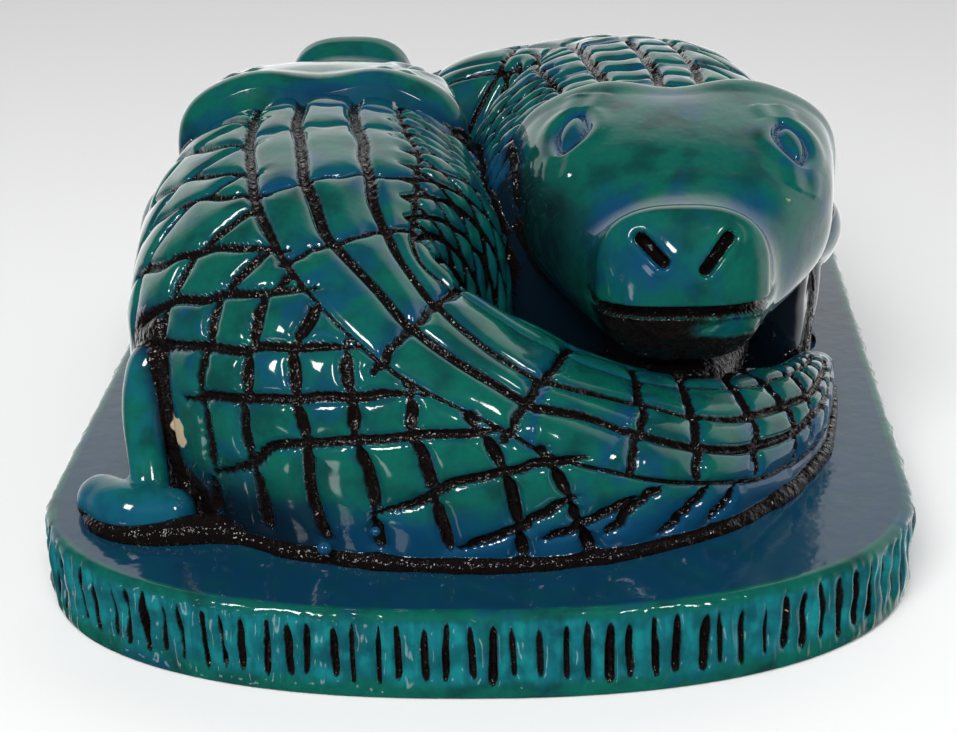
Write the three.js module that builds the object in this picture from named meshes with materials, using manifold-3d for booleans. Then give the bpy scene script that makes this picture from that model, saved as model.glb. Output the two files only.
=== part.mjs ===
// Two crocodiles lying head to tail on one oval plinth, carved and fired as a single glazed piece.
// Millimetres, +Z up. The origin is the middle of the plinth's underside and +Y points away from
// the viewer, who looks at the right crocodile's snout. Heights of the figure are measured from
// the plinth's top.
import * as THREE from 'three';
import { mergeVertices } from 'three/addons/utils/BufferGeometryUtils.js';
import Module from 'manifold-3d';

const wasm = await Module();
wasm.setup();

// Plinth
const PLINTH_LENGTH = 172;
const PLINTH_WIDTH = 125;
const PLINTH_THICKNESS = 12.8;
const PLINTH_END_DEPTH = 37.3; // how far the rounded ends reach in from the plinth's ends
const PLINTH_END_POWER = 2.3; // squareness of the rounded ends, 2 is an ellipse
const PLINTH_EDGE_ROUND = 1.2;

// Cuts round the plinth's edge
const CUT_PITCH = 3.15;
const CUT_WIDTH = 1.1;
const CUT_DEPTH = 0.8;
const CUT_LIP = 1.6; // plain band left above the cuts
const CUT_FOOT = 1.9; // plain band left below the cuts

// Figure: the pose below is drawn at this length and scaled with it
const FIGURE_LENGTH = 158;
const DRAWN_LENGTH = 158;
const SCALE = FIGURE_LENGTH / DRAWN_LENGTH;
const SINK = 1.5; // how far the bodies run down into the plinth

// Carving
const GROOVE_WIDTH = 1.9;
const GROOVE_DEPTH = 1.0;
const EDGE_SHARE = 0.75; // depth of the flanks' net beside a groove, as a share
const FULL_RELIEF_WIDTH = 9; // the carving gets shallower where the tail is thinner than this
const LEAST_RELIEF = 0.25;
const GROOVED_SHARE = 0.8; // share of the section that the lengthwise grooves may take
const GAP_SHARE = 0.32; // widest half groove, as a share of the gap between two grooves
const OUTER_FLANK_LINES = 4;
const INNER_FLANK_LINES = 3;
const FLANK_DEPTH = 1.3;

// Colours
const GLAZE_GREEN = 0x0b5d50;

// The back's ridge of the left crocodile, neck to tail tip:
// x, y, height, half width to the outside of the bend, half width to the inside
const LEFT_RIDGE = [
  [-24.5, 14, 41.7, 26, 26],
  [-24.6, 2, 44.2, 29, 27],
  [-24.4, -13, 44.8, 30, 28],
  [-22.5, -24, 44.6, 30.5, 28],
  [-19.3, -36, 43, 31.2, 23],
  [-13.2, -46, 38.6, 28.2, 17],
  [-3.5, -51.5, 32.6, 23.5, 13],
  [8, -51.5, 25.8, 23, 12],
  [18, -49.5, 19.8, 21.7, 11],
  [29.5, -45, 15, 18.8, 9.5],
  [38, -40.5, 13.2, 13.6, 8.5],
  [44.3, -35.1, 11.8, 9, 7],
  [47.6, -29.8, 10.2, 6.2, 5.6],
  [49.9, -23.9, 8.6, 4.7, 4.7],
  [51.9, -16, 6.2, 3.6, 3.8],
];
// The right crocodile is the left one turned half round; its hips stand higher
const HIP_RISE = [0, 0, -0.4, -0.2, 0.3, 1.8, 4.7, 8, 7, 4.5, 2.5, 1.2, 0.5, 0, 0];
const RIGHT_RIDGE = LEFT_RIDGE.map(([x, y, z, out, inn], i) => [-x, -y, z + HIP_RISE[i], out, inn]);

// Lengthwise grooves of the back, outermost first: distance along the ridge, distance over the
// back from it with the outer side of the bend positive
const COLUMN_GROOVES = [
  [[6, 11.2], [45, 11.7], [60, 14], [69, 17.4], [78, 22.5], [84, 24.3], [100, 23.8], [107, 23],
    [114, 21], [120, 18.2], [130, 13], [142, 7]],
  [[6, 4.3], [50, 4.3], [58, 5.7], [69, 8.6], [79, 15.9], [84, 17.7], [92, 16.7], [105, 17.7],
    [111.5, 16.3], [118.5, 13.9], [128, 8.9], [142, 4.4]],
  [[6, -4.3], [55, -4.2], [65, -1.2], [74.5, 5.1], [81, 10.9], [86, 12.5], [93, 10.6], [108, 11.1],
    [119.5, 8.7], [129.5, 5.5], [142, 2.4]],
  [[6, -11.5], [55, -11.6], [62, -8.5], [70.5, -1.9], [78.5, -1.4], [86.5, 2.2], [94, 3], [106, 3],
    [119, 2.7], [126.5, 1.6], [142, 0]],
];
// Grooves across the back: distance at the ridge, and how far each leans towards the head
const CROSS_GROOVES = [
  [19, 0], [30, 0], [50, 0], [62.6, 0.1], [75, 0.15], [91, 0.4], [100.7, 0.28], [107.6, 0.29],
  [115.2, 0.2], [120.5, 0.12], [126.5, 0.3], [130.7, 0.35], [134.7, 0.3], [139, 0.2],
];
const LEAN_REACH = [-5, 24]; // the lean stops this far over the back
const LINE_SPACING = 7.2; // widest gap between the mesh's lines across the body
const NECK_LINE_SPACING = 15;

// Body section: superellipse power, height share of its widest line, angle where it meets the plinth
const BODY_POWER = 2.35;
const BODY_WAIST = 0.42;
const BODY_FOOT_ANGLE = 112;

// The right crocodile's head, nose to neck: y, middle x, top, underside, half width, power
const HEAD = [
  [-52.7, 29.4, 33.6, 30.4, 2, 2.1],
  [-52.2, 29.4, 35.3, 25.6, 5.4, 2.2],
  [-50.8, 29.5, 38.5, 22, 8.9, 2.5],
  [-48.6, 29.6, 41, 19.2, 11.5, 2.8],
  [-45.5, 29.7, 41.2, 17, 12.4, 2.8],
  [-42, 29.7, 39.5, 16.4, 12.9, 2.7],
  [-37, 29.6, 39.2, 16, 14.6, 2.6],
  [-31, 29.8, 41, 16.4, 18.6, 2.6],
  [-24, 30, 43.4, 16.8, 22.4, 2.7],
  [-16, 30, 45.2, 16.6, 24, 3],
  [-9, 30, 46.2, 16, 24.6, 3.1],
  [-3.5, 30, 46.6, 15, 25, 2.8],
  [-1.5, 30, 45.2, 15, 23, 2.8],
];
const HEAD_STATIONS = 12;
const HEAD_SIDES = 16;
const HEAD_WAIST = 0.55;
const LEFT_HEAD_SHIFT = 3.5; // the left crocodile's head lies this much nearer the middle
const LEFT_HEAD_WIDTH = 0.94; // the left head's width, as a share of the right one's
const SKULL_NOTCH = { depth: 1.2, width: 7, from: -14, lobe: 0.6, lobeAt: 10.5 };

// Face, on the right crocodile
const NOSTRIL = { across: 4.4, y: -51, z: 36.4, length: 5.6, width: 2.3, lean: 44, tilt: -20 };
const NOSTRIL_HALF_DEPTH = 1.6;
const MOUTH = {
  z: 27.7, gap: 1.6, reach: 1.6, back: -38, tip: -51.6, cornerX: 11.4, cornerY: -50.5, half: 11.9,
  margin: 3, curveSteps: 5, droop: 8,
};
const EYE = { across: 15.4, y: -19.5, z: 40.4, length: 9.4, width: 4.8, rise: 19, toe: 15 };
const HEAD_MIDDLE = 30;

// Limbs of the left crocodile: each is a chain of rounded knuckles x, y, z, radius
const HIND_LEG = [
  [-38, -44, 19, 7],
  [-45.2, -51.2, 19.4, 3.8],
  [-46.3, -53, 14.4, 3.4],
  [-46.3, -55.2, 8.6, 2.9],
  [-45.6, -58, 4, 2.8],
];
const HIND_FOOT = [
  [-42.2, -61, 1.9, 3.6],
  [-47.5, -61, 2, 4.2],
  [-53, -56.6, 1.6, 3.9],
];
const FRONT_ARM = [
  [-46, 9, 25, 6.5],
  [-50.4, 3, 22.5, 6.6],
  [-51, -2.5, 18.4, 6.2],
];
const FRONT_LEG = [
  [-49.5, 0, 18, 5],
  [-49.3, 5, 12, 4.4],
  [-48.6, 8.5, 5.5, 3.8],
  [-48.5, 11.5, 1.3, 3.6],
];
// The neck under the right crocodile's jaw
const THROAT = [
  [29.6, -36, 8.5, 9],
  [29.8, -27, 9.5, 10.5],
  [30, -18, 10.5, 12],
];
const CHEST_REACH = 7; // how far the rounded chest reaches ahead of the ridge's first point
const CHEST_STEPS = [0.8];
const LIMB_SIDES = 6;

const rad = THREE.MathUtils.degToRad;
const signedPower = (value, power) => Math.sign(value) * Math.abs(value) ** power;

// Distance covered in plan at each point of a list, and the smooth curve through the list
function smoothTable(points, planLength) {
  const at = [0];
  for (let i = 1; i < points.length; i += 1) {
    at.push(at[i - 1] + planLength(points[i - 1], points[i]));
  }
  const last = points.length - 1;
  const slope = points.map((point, i) => {
    const a = Math.max(i - 1, 0);
    const b = Math.min(i + 1, last);
    if (a === i || b === i) {
      return point.map((_, k) => (points[b][k] - points[a][k]) / (at[b] - at[a]));
    }
    const before = at[i] - at[a];
    const after = at[b] - at[i];
    return point.map((value, k) => {
      const slopeIn = (value - points[a][k]) / before;
      const slopeOut = (points[b][k] - value) / after;
      return (slopeIn * after + slopeOut * before) / (before + after);
    });
  });
  const sample = (s) => {
    let i = 0;
    while (i < last - 1 && s > at[i + 1]) i += 1;
    const h = at[i + 1] - at[i];
    const x = (s - at[i]) / h;
    const h00 = (1 + 2 * x) * (1 - x) ** 2;
    const h10 = x * (1 - x) ** 2;
    const h01 = x * x * (3 - 2 * x);
    const h11 = x * x * (x - 1);
    return points[i].map((value, k) => h00 * value + h10 * h * slope[i][k]
      + h01 * points[i + 1][k] + h11 * h * slope[i + 1][k]);
  };
  return { length: at[last], sample };
}

// A closed solid from rings of points, each ring with as many points, capped at both ends
// Where depths are given, each four-sided patch folds along its deeper diagonal
function ringSolid(rings, depths) {
  const count = rings[0].length;
  const vertices = rings.flat();
  const faces = [];
  for (let i = 0; i + 1 < rings.length; i += 1) {
    for (let k = 0; k < count; k += 1) {
      const a = i * count + k;
      const b = i * count + ((k + 1) % count);
      const c = a + count;
      const d = b + count;
      const sunk = depths ? depths[a] + depths[d] - depths[b] - depths[c] : 0;
      if (sunk > 0 || (sunk === 0 && (i + k) % 2 === 0)) faces.push([a, b, d], [a, d, c]);
      else faces.push([a, b, c], [b, d, c]);
    }
  }
  const cap = (ring, start, flip) => {
    const middle = vertices.length;
    const sum = ring.reduce((total, p) => total.map((v, k) => v + p[k]), [0, 0, 0]);
    vertices.push(sum.map((v) => v / count));
    for (let k = 0; k < count; k += 1) {
      const next = (k + 1) % count;
      faces.push(flip ? [middle, start + next, start + k] : [middle, start + k, start + next]);
    }
  };
  cap(rings[0], 0, true);
  cap(rings[rings.length - 1], (rings.length - 1) * count, false);
  return meshSolid(vertices, faces);
}

function meshSolid(vertices, faces) {
  const geometry = new THREE.BufferGeometry();
  geometry.setAttribute('position', new THREE.Float32BufferAttribute(vertices.flat(), 3));
  geometry.setIndex(faces.flat());
  return toSolid(geometry);
}

function signedVolume(positions, index) {
  const a = new THREE.Vector3();
  const b = new THREE.Vector3();
  const c = new THREE.Vector3();
  let total = 0;
  for (let i = 0; i < index.length; i += 3) {
    a.fromArray(positions, index[i] * 3);
    b.fromArray(positions, index[i + 1] * 3);
    c.fromArray(positions, index[i + 2] * 3);
    total += a.dot(b.cross(c)) / 6;
  }
  return total;
}

function toSolid(geometry) {
  const bare = geometry.clone();
  bare.deleteAttribute('normal');
  bare.deleteAttribute('uv');
  const merged = mergeVertices(bare, 1e-4);
  const vertProperties = Float32Array.from(merged.attributes.position.array);
  const triVerts = Uint32Array.from(merged.index.array);
  if (signedVolume(vertProperties, triVerts) < 0) {
    for (let i = 0; i < triVerts.length; i += 3) {
      [triVerts[i + 1], triVerts[i + 2]] = [triVerts[i + 2], triVerts[i + 1]];
    }
  }
  return new wasm.Manifold(new wasm.Mesh({ numProp: 3, vertProperties, triVerts }));
}

function toGeometry(solid) {
  const mesh = solid.getMesh();
  const geometry = new THREE.BufferGeometry();
  geometry.setAttribute('position', new THREE.Float32BufferAttribute(mesh.vertProperties, 3));
  geometry.setIndex(new THREE.Uint32BufferAttribute(mesh.triVerts, 1));
  const faceted = geometry.toNonIndexed();
  faceted.computeVertexNormals();
  return faceted;
}

// One half of the body's section from the ridge down to the plinth, as distance over the back,
// sideways reach and height
function sectionTable(top, halfWidth) {
  const steps = 60;
  const waist = top * BODY_WAIST;
  const foot = Math.abs(Math.cos(rad(BODY_FOOT_ANGLE)));
  const table = [];
  let over = 0;
  for (let i = 0; i <= steps; i += 1) {
    const angle = rad(BODY_FOOT_ANGLE) * (i / steps);
    const side = signedPower(Math.sin(angle), 2 / BODY_POWER) * halfWidth;
    const c = Math.cos(angle);
    const height = c >= 0
      ? waist + (top - waist) * c ** (2 / BODY_POWER)
      : waist - (waist + SINK) * (-c / foot) ** (2 / BODY_POWER);
    if (i > 0) over += Math.hypot(side - table[i - 1][1], height - table[i - 1][2]);
    table.push([over, side, height]);
  }
  return table;
}

// Where a distance over the back lies on the section, with the outward direction there
function onSection(table, over) {
  let i = 0;
  while (i < table.length - 2 && over > table[i + 1][0]) i += 1;
  const [a, b] = [table[i], table[i + 1]];
  const share = Math.min((over - a[0]) / (b[0] - a[0]), 1);
  const side = THREE.MathUtils.lerp(a[1], b[1], share);
  const height = THREE.MathUtils.lerp(a[2], b[2], share);
  const run = Math.hypot(b[1] - a[1], b[2] - a[2]);
  return { side, height, outSide: (a[2] - b[2]) / run, outUp: (b[1] - a[1]) / run };
}

// Straight runs between the rows of a table of pairs
function steppedTable(rows, value) {
  let i = 0;
  while (i < rows.length - 2 && value > rows[i + 1][0]) i += 1;
  const share = THREE.MathUtils.clamp((value - rows[i][0]) / (rows[i + 1][0] - rows[i][0]), 0, 1);
  return THREE.MathUtils.lerp(rows[i][1], rows[i + 1][1], share);
}

// Lines across the body: three at each cross groove and enough between them. Beats count the
// lines that carry the flanks' net, and the two edges of a groove share its beat.
function bodyStations(length) {
  const stations = [];
  const edge = GROOVE_WIDTH / 2;
  const stops = [0, ...CROSS_GROOVES.map(([stop]) => stop), length / SCALE];
  let beat = 0;
  stops.forEach((stop, i) => {
    const groove = i > 0 && i < stops.length - 1;
    if (groove) {
      stations.push({ s: stop - edge, beat, share: EDGE_SHARE, groove: 0 });
      stations.push({ s: stop, beat, share: 1, groove: GROOVE_DEPTH });
      stations.push({ s: stop + edge, beat, share: EDGE_SHARE, groove: 0 });
    } else {
      stations.push({ s: stop, beat, share: 1, groove: 0 });
    }
    beat += 1;
    if (i + 1 < stops.length) {
      const from = stop + (groove ? edge : 0);
      const gap = stops[i + 1] - edge - from;
      const parts = Math.ceil(gap / (i === 0 ? NECK_LINE_SPACING : LINE_SPACING));
      for (let k = 1; k < parts; k += 1) {
        stations.push({ s: from + (gap * k) / parts, beat, share: 1, groove: 0 });
        beat += 1;
      }
    }
  });
  return stations;
}

// The mesh's lengthwise lines from the inner foot to the outer one: three at each groove, and
// the lines of the two flanks
function lengthwiseLines() {
  const lines = [];
  for (let j = INNER_FLANK_LINES; j >= 1; j -= 1) {
    lines.push({ side: -1, flank: j, of: INNER_FLANK_LINES });
  }
  for (let g = COLUMN_GROOVES.length - 1; g >= 0; g -= 1) {
    for (const offset of [-1, 0, 1]) lines.push({ groove: g, offset });
  }
  for (let j = 1; j <= OUTER_FLANK_LINES; j += 1) {
    lines.push({ side: 1, flank: j, of: OUTER_FLANK_LINES });
  }
  return lines;
}

// Signed distance over the back of one lengthwise line
function lineOver(line, drawnAlong, innerReach, outerReach) {
  const overs = COLUMN_GROOVES.map((rows) => steppedTable(rows, drawnAlong) * SCALE);
  const gaps = overs.slice(1).map((over, i) => overs[i] - over);
  const edge = Math.min((GROOVE_WIDTH / 2) * SCALE, Math.min(...gaps) * GAP_SHARE);
  const outermost = overs[0] + edge;
  const innermost = edge - overs[overs.length - 1];
  const outerShrink = Math.min(1, (outerReach * GROOVED_SHARE) / outermost);
  const innerShrink = Math.min(1, (innerReach * GROOVED_SHARE) / Math.max(innermost, edge));
  if (line.flank) {
    const share = line.flank / line.of;
    if (line.side > 0) return THREE.MathUtils.lerp(outermost * outerShrink, outerReach, share);
    return -THREE.MathUtils.lerp(innermost * innerShrink, innerReach, share);
  }
  const over = overs[line.groove] + line.offset * edge;
  return over * (over > 0 ? outerShrink : innerShrink);
}

// How deep the carving is at one line of one station
function carvedDepth(line, station) {
  if (line.flank) {
    const netted = line.flank < line.of && (station.beat + line.flank) % 2 === 0;
    return netted ? FLANK_DEPTH * station.share : 0;
  }
  return Math.max(line.offset === 0 ? GROOVE_DEPTH : 0, station.groove);
}

// The body's skin at a distance along the ridge: the lines' distances over the back and a
// function that finds the point under one of them
function bodySection(curve, along) {
  const [x, y, top, outer, inner] = curve.sample(along);
  const before = curve.sample(Math.max(along - 0.5, 0));
  const after = curve.sample(Math.min(along + 0.5, curve.length));
  const run = Math.hypot(after[0] - before[0], after[1] - before[1]);
  const outward = [(after[1] - before[1]) / run, -(after[0] - before[0]) / run];
  const tables = { inner: sectionTable(top, inner), outer: sectionTable(top, outer) };
  const reach = (table) => table[table.length - 1][0];
  const over = (line) => lineOver(line, along / SCALE, reach(tables.inner), reach(tables.outer));
  const thinnest = Math.min(outer, inner) / (FULL_RELIEF_WIDTH * SCALE);
  const relief = THREE.MathUtils.clamp(thinnest, LEAST_RELIEF, 1);
  const point = (signedOver, depth) => {
    const sign = signedOver < 0 ? -1 : 1;
    const spot = onSection(sign < 0 ? tables.inner : tables.outer, Math.abs(signedOver));
    const side = sign * (spot.side - spot.outSide * depth);
    return [x + outward[0] * side, y + outward[1] * side, spot.height - spot.outUp * depth];
  };
  return { over, relief, point };
}

function bodySolid(ridge) {
  const scaled = ridge.map((row) => row.map((value) => value * SCALE));
  const curve = smoothTable(scaled, (a, b) => Math.hypot(b[0] - a[0], b[1] - a[1]));
  const lines = lengthwiseLines();
  const depths = [];
  const rings = bodyStations(curve.length).map((station) => {
    const level = THREE.MathUtils.clamp(station.s * SCALE, 0, curve.length);
    const lean = steppedTable(CROSS_GROOVES, station.s);
    const straight = bodySection(curve, level);
    return lines.map((line) => {
      const reach = LEAN_REACH.map((value) => value * SCALE);
      const shift = lean * THREE.MathUtils.clamp(straight.over(line), ...reach);
      const section = bodySection(curve, THREE.MathUtils.clamp(level - shift, 0, curve.length));
      const depth = carvedDepth(line, station) * section.relief;
      depths.push(depth);
      return section.point(section.over(line), depth);
    });
  });
  const chest = chestRings(rings[0], curve);
  const flat = new Array(chest.flat().length).fill(0);
  return ringSolid([...chest, ...rings], [...flat, ...depths]);
}

// Smaller rings ahead of the first one, like half a dome that stands on the plinth
function chestRings(first, curve) {
  const [a, b] = [curve.sample(0), curve.sample(1)];
  const run = Math.hypot(b[0] - a[0], b[1] - a[1]);
  const middle = [0, 1].map((k) => first.reduce((sum, point) => sum + point[k], 0) / first.length);
  return CHEST_STEPS.map((share) => {
    const size = Math.sqrt(1 - share * share);
    const push = [0, 1].map((k) => (CHEST_REACH * SCALE * share * (a[k] - b[k])) / run);
    return first.map(([x, y, z]) => [
      middle[0] + (x - middle[0]) * size + push[0],
      middle[1] + (y - middle[1]) * size + push[1],
      (z + SINK) * size - SINK,
    ]);
  });
}

function skullNotch(x, y) {
  const { depth, width, from, lobe, lobeAt } = SKULL_NOTCH;
  const back = THREE.MathUtils.smoothstep(y, from, HEAD[HEAD.length - 1][0]);
  const dip = Math.exp(-((x / width) ** 2));
  const lobes = lobe * Math.exp(-(((Math.abs(x) - lobeAt) / width) ** 2));
  return depth * back * (dip - lobes);
}

function headSolid() {
  const scaled = HEAD.map((row) => row.map((value, k) => (k < 5 ? value * SCALE : value)));
  const curve = smoothTable(scaled, (a, b) => Math.abs(b[0] - a[0]));
  const rings = [];
  for (let i = 0; i <= HEAD_STATIONS; i += 1) {
    const share = i / HEAD_STATIONS;
    const [y, middle, top, under, half, power] = curve.sample(curve.length * share ** 1.25);
    const waist = THREE.MathUtils.lerp(under, top, HEAD_WAIST);
    const ring = [];
    for (let k = 0; k < HEAD_SIDES; k += 1) {
      const angle = (2 * Math.PI * (k + 0.5)) / HEAD_SIDES;
      const x = signedPower(Math.sin(angle), 2 / power) * half;
      const c = Math.cos(angle);
      const reach = c >= 0 ? top - waist : waist - under;
      const notch = c > 0 ? skullNotch(x / SCALE, y / SCALE) * SCALE : 0;
      ring.push([middle + x, y, waist + signedPower(c, 2 / power) * reach - notch]);
    }
    rings.push(ring);
  }
  return ringSolid(rings);
}

function ellipsoid(centre, radii, turn) {
  const geometry = new THREE.SphereGeometry(1, 8, 6);
  geometry.scale(...radii);
  if (turn) geometry.applyMatrix4(new THREE.Matrix4().makeRotationFromEuler(turn));
  geometry.translate(...centre);
  return toSolid(geometry);
}

// Nostrils, the mouth line and the eyes' almond bulges on one head
function carveFace(head) {
  const middle = HEAD[2][1] * SCALE;
  let face = head;
  for (const side of [-1, 1]) {
    const turn = new THREE.Euler(rad(NOSTRIL.tilt), rad(side * NOSTRIL.lean), 0);
    const place = [middle + side * NOSTRIL.across * SCALE, NOSTRIL.y * SCALE, NOSTRIL.z * SCALE];
    const radii = [NOSTRIL.width / 2, NOSTRIL_HALF_DEPTH, NOSTRIL.length / 2]
      .map((value) => value * SCALE);
    face = face.subtract(ellipsoid(place, radii, turn));
    const eyeTurn = new THREE.Euler(rad(EYE.rise), 0, rad(side * EYE.toe));
    const eyePlace = [(HEAD_MIDDLE + side * EYE.across) * SCALE, EYE.y * SCALE, EYE.z * SCALE];
    const eyeRadii = [EYE.width / 2, EYE.length / 2, EYE.width / 2].map((value) => value * SCALE);
    face = face.add(ellipsoid(eyePlace, eyeRadii, eyeTurn));
  }
  return face.subtract(mouthCut(middle));
}

// The mouth is a thin slot that follows the snout's outline a little way in
function mouthCut(middle) {
  const sized = (value) => value * SCALE;
  const back = sized(MOUTH.back);
  const wide = sized(MOUTH.half + MOUTH.margin);
  const ahead = sized(MOUTH.tip - MOUTH.margin);
  const half = sized(MOUTH.half - MOUTH.reach);
  const cornerX = sized(MOUTH.cornerX - MOUTH.reach);
  const cornerY = sized(MOUTH.cornerY + MOUTH.reach);
  const tip = sized(MOUTH.tip + MOUTH.reach);
  const outline = new THREE.Shape();
  outline.moveTo(middle - wide, back);
  outline.lineTo(middle - wide, ahead);
  outline.lineTo(middle + wide, ahead);
  outline.lineTo(middle + wide, back);
  outline.lineTo(middle + half, back);
  outline.quadraticCurveTo(middle + cornerX, cornerY, middle, tip);
  outline.quadraticCurveTo(middle - cornerX, cornerY, middle - half, back);
  const geometry = new THREE.ExtrudeGeometry(outline, {
    depth: sized(MOUTH.gap), bevelEnabled: false, curveSegments: MOUTH.curveSteps,
  });
  geometry.translate(0, -tip, 0);
  geometry.rotateX(rad(-MOUTH.droop));
  geometry.translate(0, tip, sized(MOUTH.z - MOUTH.gap / 2));
  return toSolid(geometry);
}

// A limb: a chain of knuckles with a smooth skin, closed at both ends
function limbSolid(chain) {
  const scaled = chain.map((row) => row.map((value) => value * SCALE));
  const step = (a, b) => Math.hypot(b[0] - a[0], b[1] - a[1], b[2] - a[2]);
  const curve = smoothTable(scaled, step);
  const count = chain.length;
  const rings = [];
  const ringAt = (along, shrink, push) => {
    const [x, y, z, radius] = curve.sample(along);
    const ahead = curve.sample(Math.min(along + 0.4, curve.length));
    const behind = curve.sample(Math.max(along - 0.4, 0));
    const forward = new THREE.Vector3(...ahead).sub(new THREE.Vector3(...behind)).normalize();
    const side = new THREE.Vector3(0, 0, 1).cross(forward);
    if (side.length() < 0.2) side.set(1, 0, 0);
    side.normalize();
    const up = forward.clone().cross(side);
    const centre = new THREE.Vector3(x, y, z).addScaledVector(forward, push * radius);
    const ring = [];
    for (let k = 0; k < LIMB_SIDES; k += 1) {
      const angle = (2 * Math.PI * k) / LIMB_SIDES;
      const point = centre.clone()
        .addScaledVector(side, Math.cos(angle) * radius * shrink)
        .addScaledVector(up, Math.sin(angle) * radius * shrink);
      ring.push([point.x, point.y, point.z]);
    }
    return ring;
  };
  rings.push(ringAt(0, 0.6, -0.7));
  for (let i = 0; i <= count; i += 1) rings.push(ringAt((curve.length * i) / count, 1, 0));
  rings.push(ringAt(curve.length, 0.7, 0.65));
  return ringSolid(rings);
}

// The plinth's outline at a distance round it, starting at the middle of the right side
function plinthOutline(inset) {
  const halfWidth = PLINTH_WIDTH / 2 - inset;
  const halfLength = PLINTH_LENGTH / 2 - inset;
  const straight = PLINTH_LENGTH / 2 - PLINTH_END_DEPTH;
  const depth = halfLength - straight;
  const quarter = [[halfWidth, 0], [halfWidth, straight]];
  const steps = 90;
  for (let i = 1; i <= steps; i += 1) {
    const angle = (Math.PI / 2) * (i / steps);
    quarter.push([
      halfWidth * Math.cos(angle) ** (2 / PLINTH_END_POWER),
      straight + depth * Math.sin(angle) ** (2 / PLINTH_END_POWER),
    ]);
  }
  const half = [...quarter, ...quarter.slice(0, -1).reverse().map(([x, y]) => [-x, y])];
  return [...half.slice(0, -1), ...half.slice(0, -1).map(([x, y]) => [-x, -y])];
}

function outlineWalk(outline) {
  const closed = [...outline, outline[0]];
  const at = [0];
  for (let i = 1; i < closed.length; i += 1) {
    at.push(at[i - 1] + Math.hypot(closed[i][0] - closed[i - 1][0], closed[i][1] - closed[i - 1][1]));
  }
  const length = at[at.length - 1];
  const point = (distance) => {
    let i = 0;
    while (i < at.length - 2 && distance > at[i + 1]) i += 1;
    const share = (distance - at[i]) / (at[i + 1] - at[i]);
    const [a, b] = [closed[i], closed[i + 1]];
    const run = Math.hypot(b[0] - a[0], b[1] - a[1]);
    return {
      x: THREE.MathUtils.lerp(a[0], b[0], share),
      y: THREE.MathUtils.lerp(a[1], b[1], share),
      out: [(b[1] - a[1]) / run, -(b[0] - a[0]) / run],
    };
  };
  return { length, point };
}

function plinthSolid() {
  const walk = outlineWalk(plinthOutline(0));
  const cuts = Math.round(walk.length / CUT_PITCH);
  const pitch = walk.length / cuts;
  const vertices = [];
  const add = (distance, height, into) => {
    const { x, y, out } = walk.point(distance % walk.length);
    vertices.push([x - out[0] * into, y - out[1] * into, height]);
  };
  // Four rings: plain at the underside and the top, cut in between
  const plain = (height, inset) => {
    for (let i = 0; i < cuts; i += 1) add(i * pitch, height, inset);
  };
  const cut = (height) => {
    for (let i = 0; i < cuts; i += 1) {
      add(i * pitch, height, CUT_DEPTH);
      add(i * pitch + CUT_WIDTH / 2, height, 0);
      add((i + 1) * pitch - CUT_WIDTH / 2, height, 0);
    }
  };
  plain(0, PLINTH_EDGE_ROUND / 3);
  cut(CUT_FOOT);
  cut(PLINTH_THICKNESS - CUT_LIP);
  plain(PLINTH_THICKNESS, PLINTH_EDGE_ROUND);
  const low = cuts;
  const high = cuts * 4;
  const top = cuts * 7;
  const faces = [];
  const quad = (a, b, c, d) => faces.push([a, b, c], [a, c, d]);
  for (let i = 0; i < cuts; i += 1) {
    const next = (i + 1) % cuts;
    for (let k = 0; k < 3; k += 1) {
      const a = i * 3 + k;
      const b = (i * 3 + k + 1) % (cuts * 3);
      quad(low + a, low + b, high + b, high + a);
      const under = k === 0 ? i : next;
      faces.push([under, low + b, low + a], [top + under, high + a, high + b]);
    }
    faces.push([i, next, low + i * 3 + 1], [top + next, top + i, high + i * 3 + 1]);
  }
  for (const start of [0, top]) {
    const middle = vertices.length;
    vertices.push([0, 0, start === 0 ? 0 : PLINTH_THICKNESS]);
    for (let i = 0; i < cuts; i += 1) {
      const next = start + ((i + 1) % cuts);
      faces.push(start === 0 ? [middle, next, i] : [middle, start + i, next]);
    }
  }
  return meshSolid(vertices, faces);
}

const turned = (rows) => rows.map(([x, y, ...rest]) => [-x, -y, ...rest]);
const rightHead = carveFace(headSolid()).add(limbSolid(THROAT));
const leftHead = rightHead
  .translate([-HEAD_MIDDLE * SCALE, 0, 0])
  .scale([LEFT_HEAD_WIDTH, 1, 1])
  .rotate([0, 0, 180])
  .translate([(LEFT_HEAD_SHIFT - HEAD_MIDDLE) * SCALE, 0, 0]);
const limbs = [HIND_LEG, HIND_FOOT, FRONT_ARM, FRONT_LEG];
const solids = [
  bodySolid(LEFT_RIDGE),
  bodySolid(RIGHT_RIDGE),
  rightHead,
  leftHead,
  ...limbs.map(limbSolid),
  ...limbs.map((chain) => limbSolid(turned(chain))),
];
const figureSolid = solids.reduce((joined, solid) => joined.add(solid));
const whole = plinthSolid().add(figureSolid.translate([0, 0, PLINTH_THICKNESS]));

const crocodiles = new THREE.Mesh(
  toGeometry(whole),
  new THREE.MeshStandardMaterial({ color: GLAZE_GREEN, roughness: 0.12, metalness: 0 }),
);
crocodiles.name = 'crocodiles_on_plinth';

const figure = new THREE.Group();
figure.add(crocodiles);
export default figure;
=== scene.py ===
import functools
import math
import bpy
import numpy as np
from mathutils import Matrix, Vector, kdtree


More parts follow.
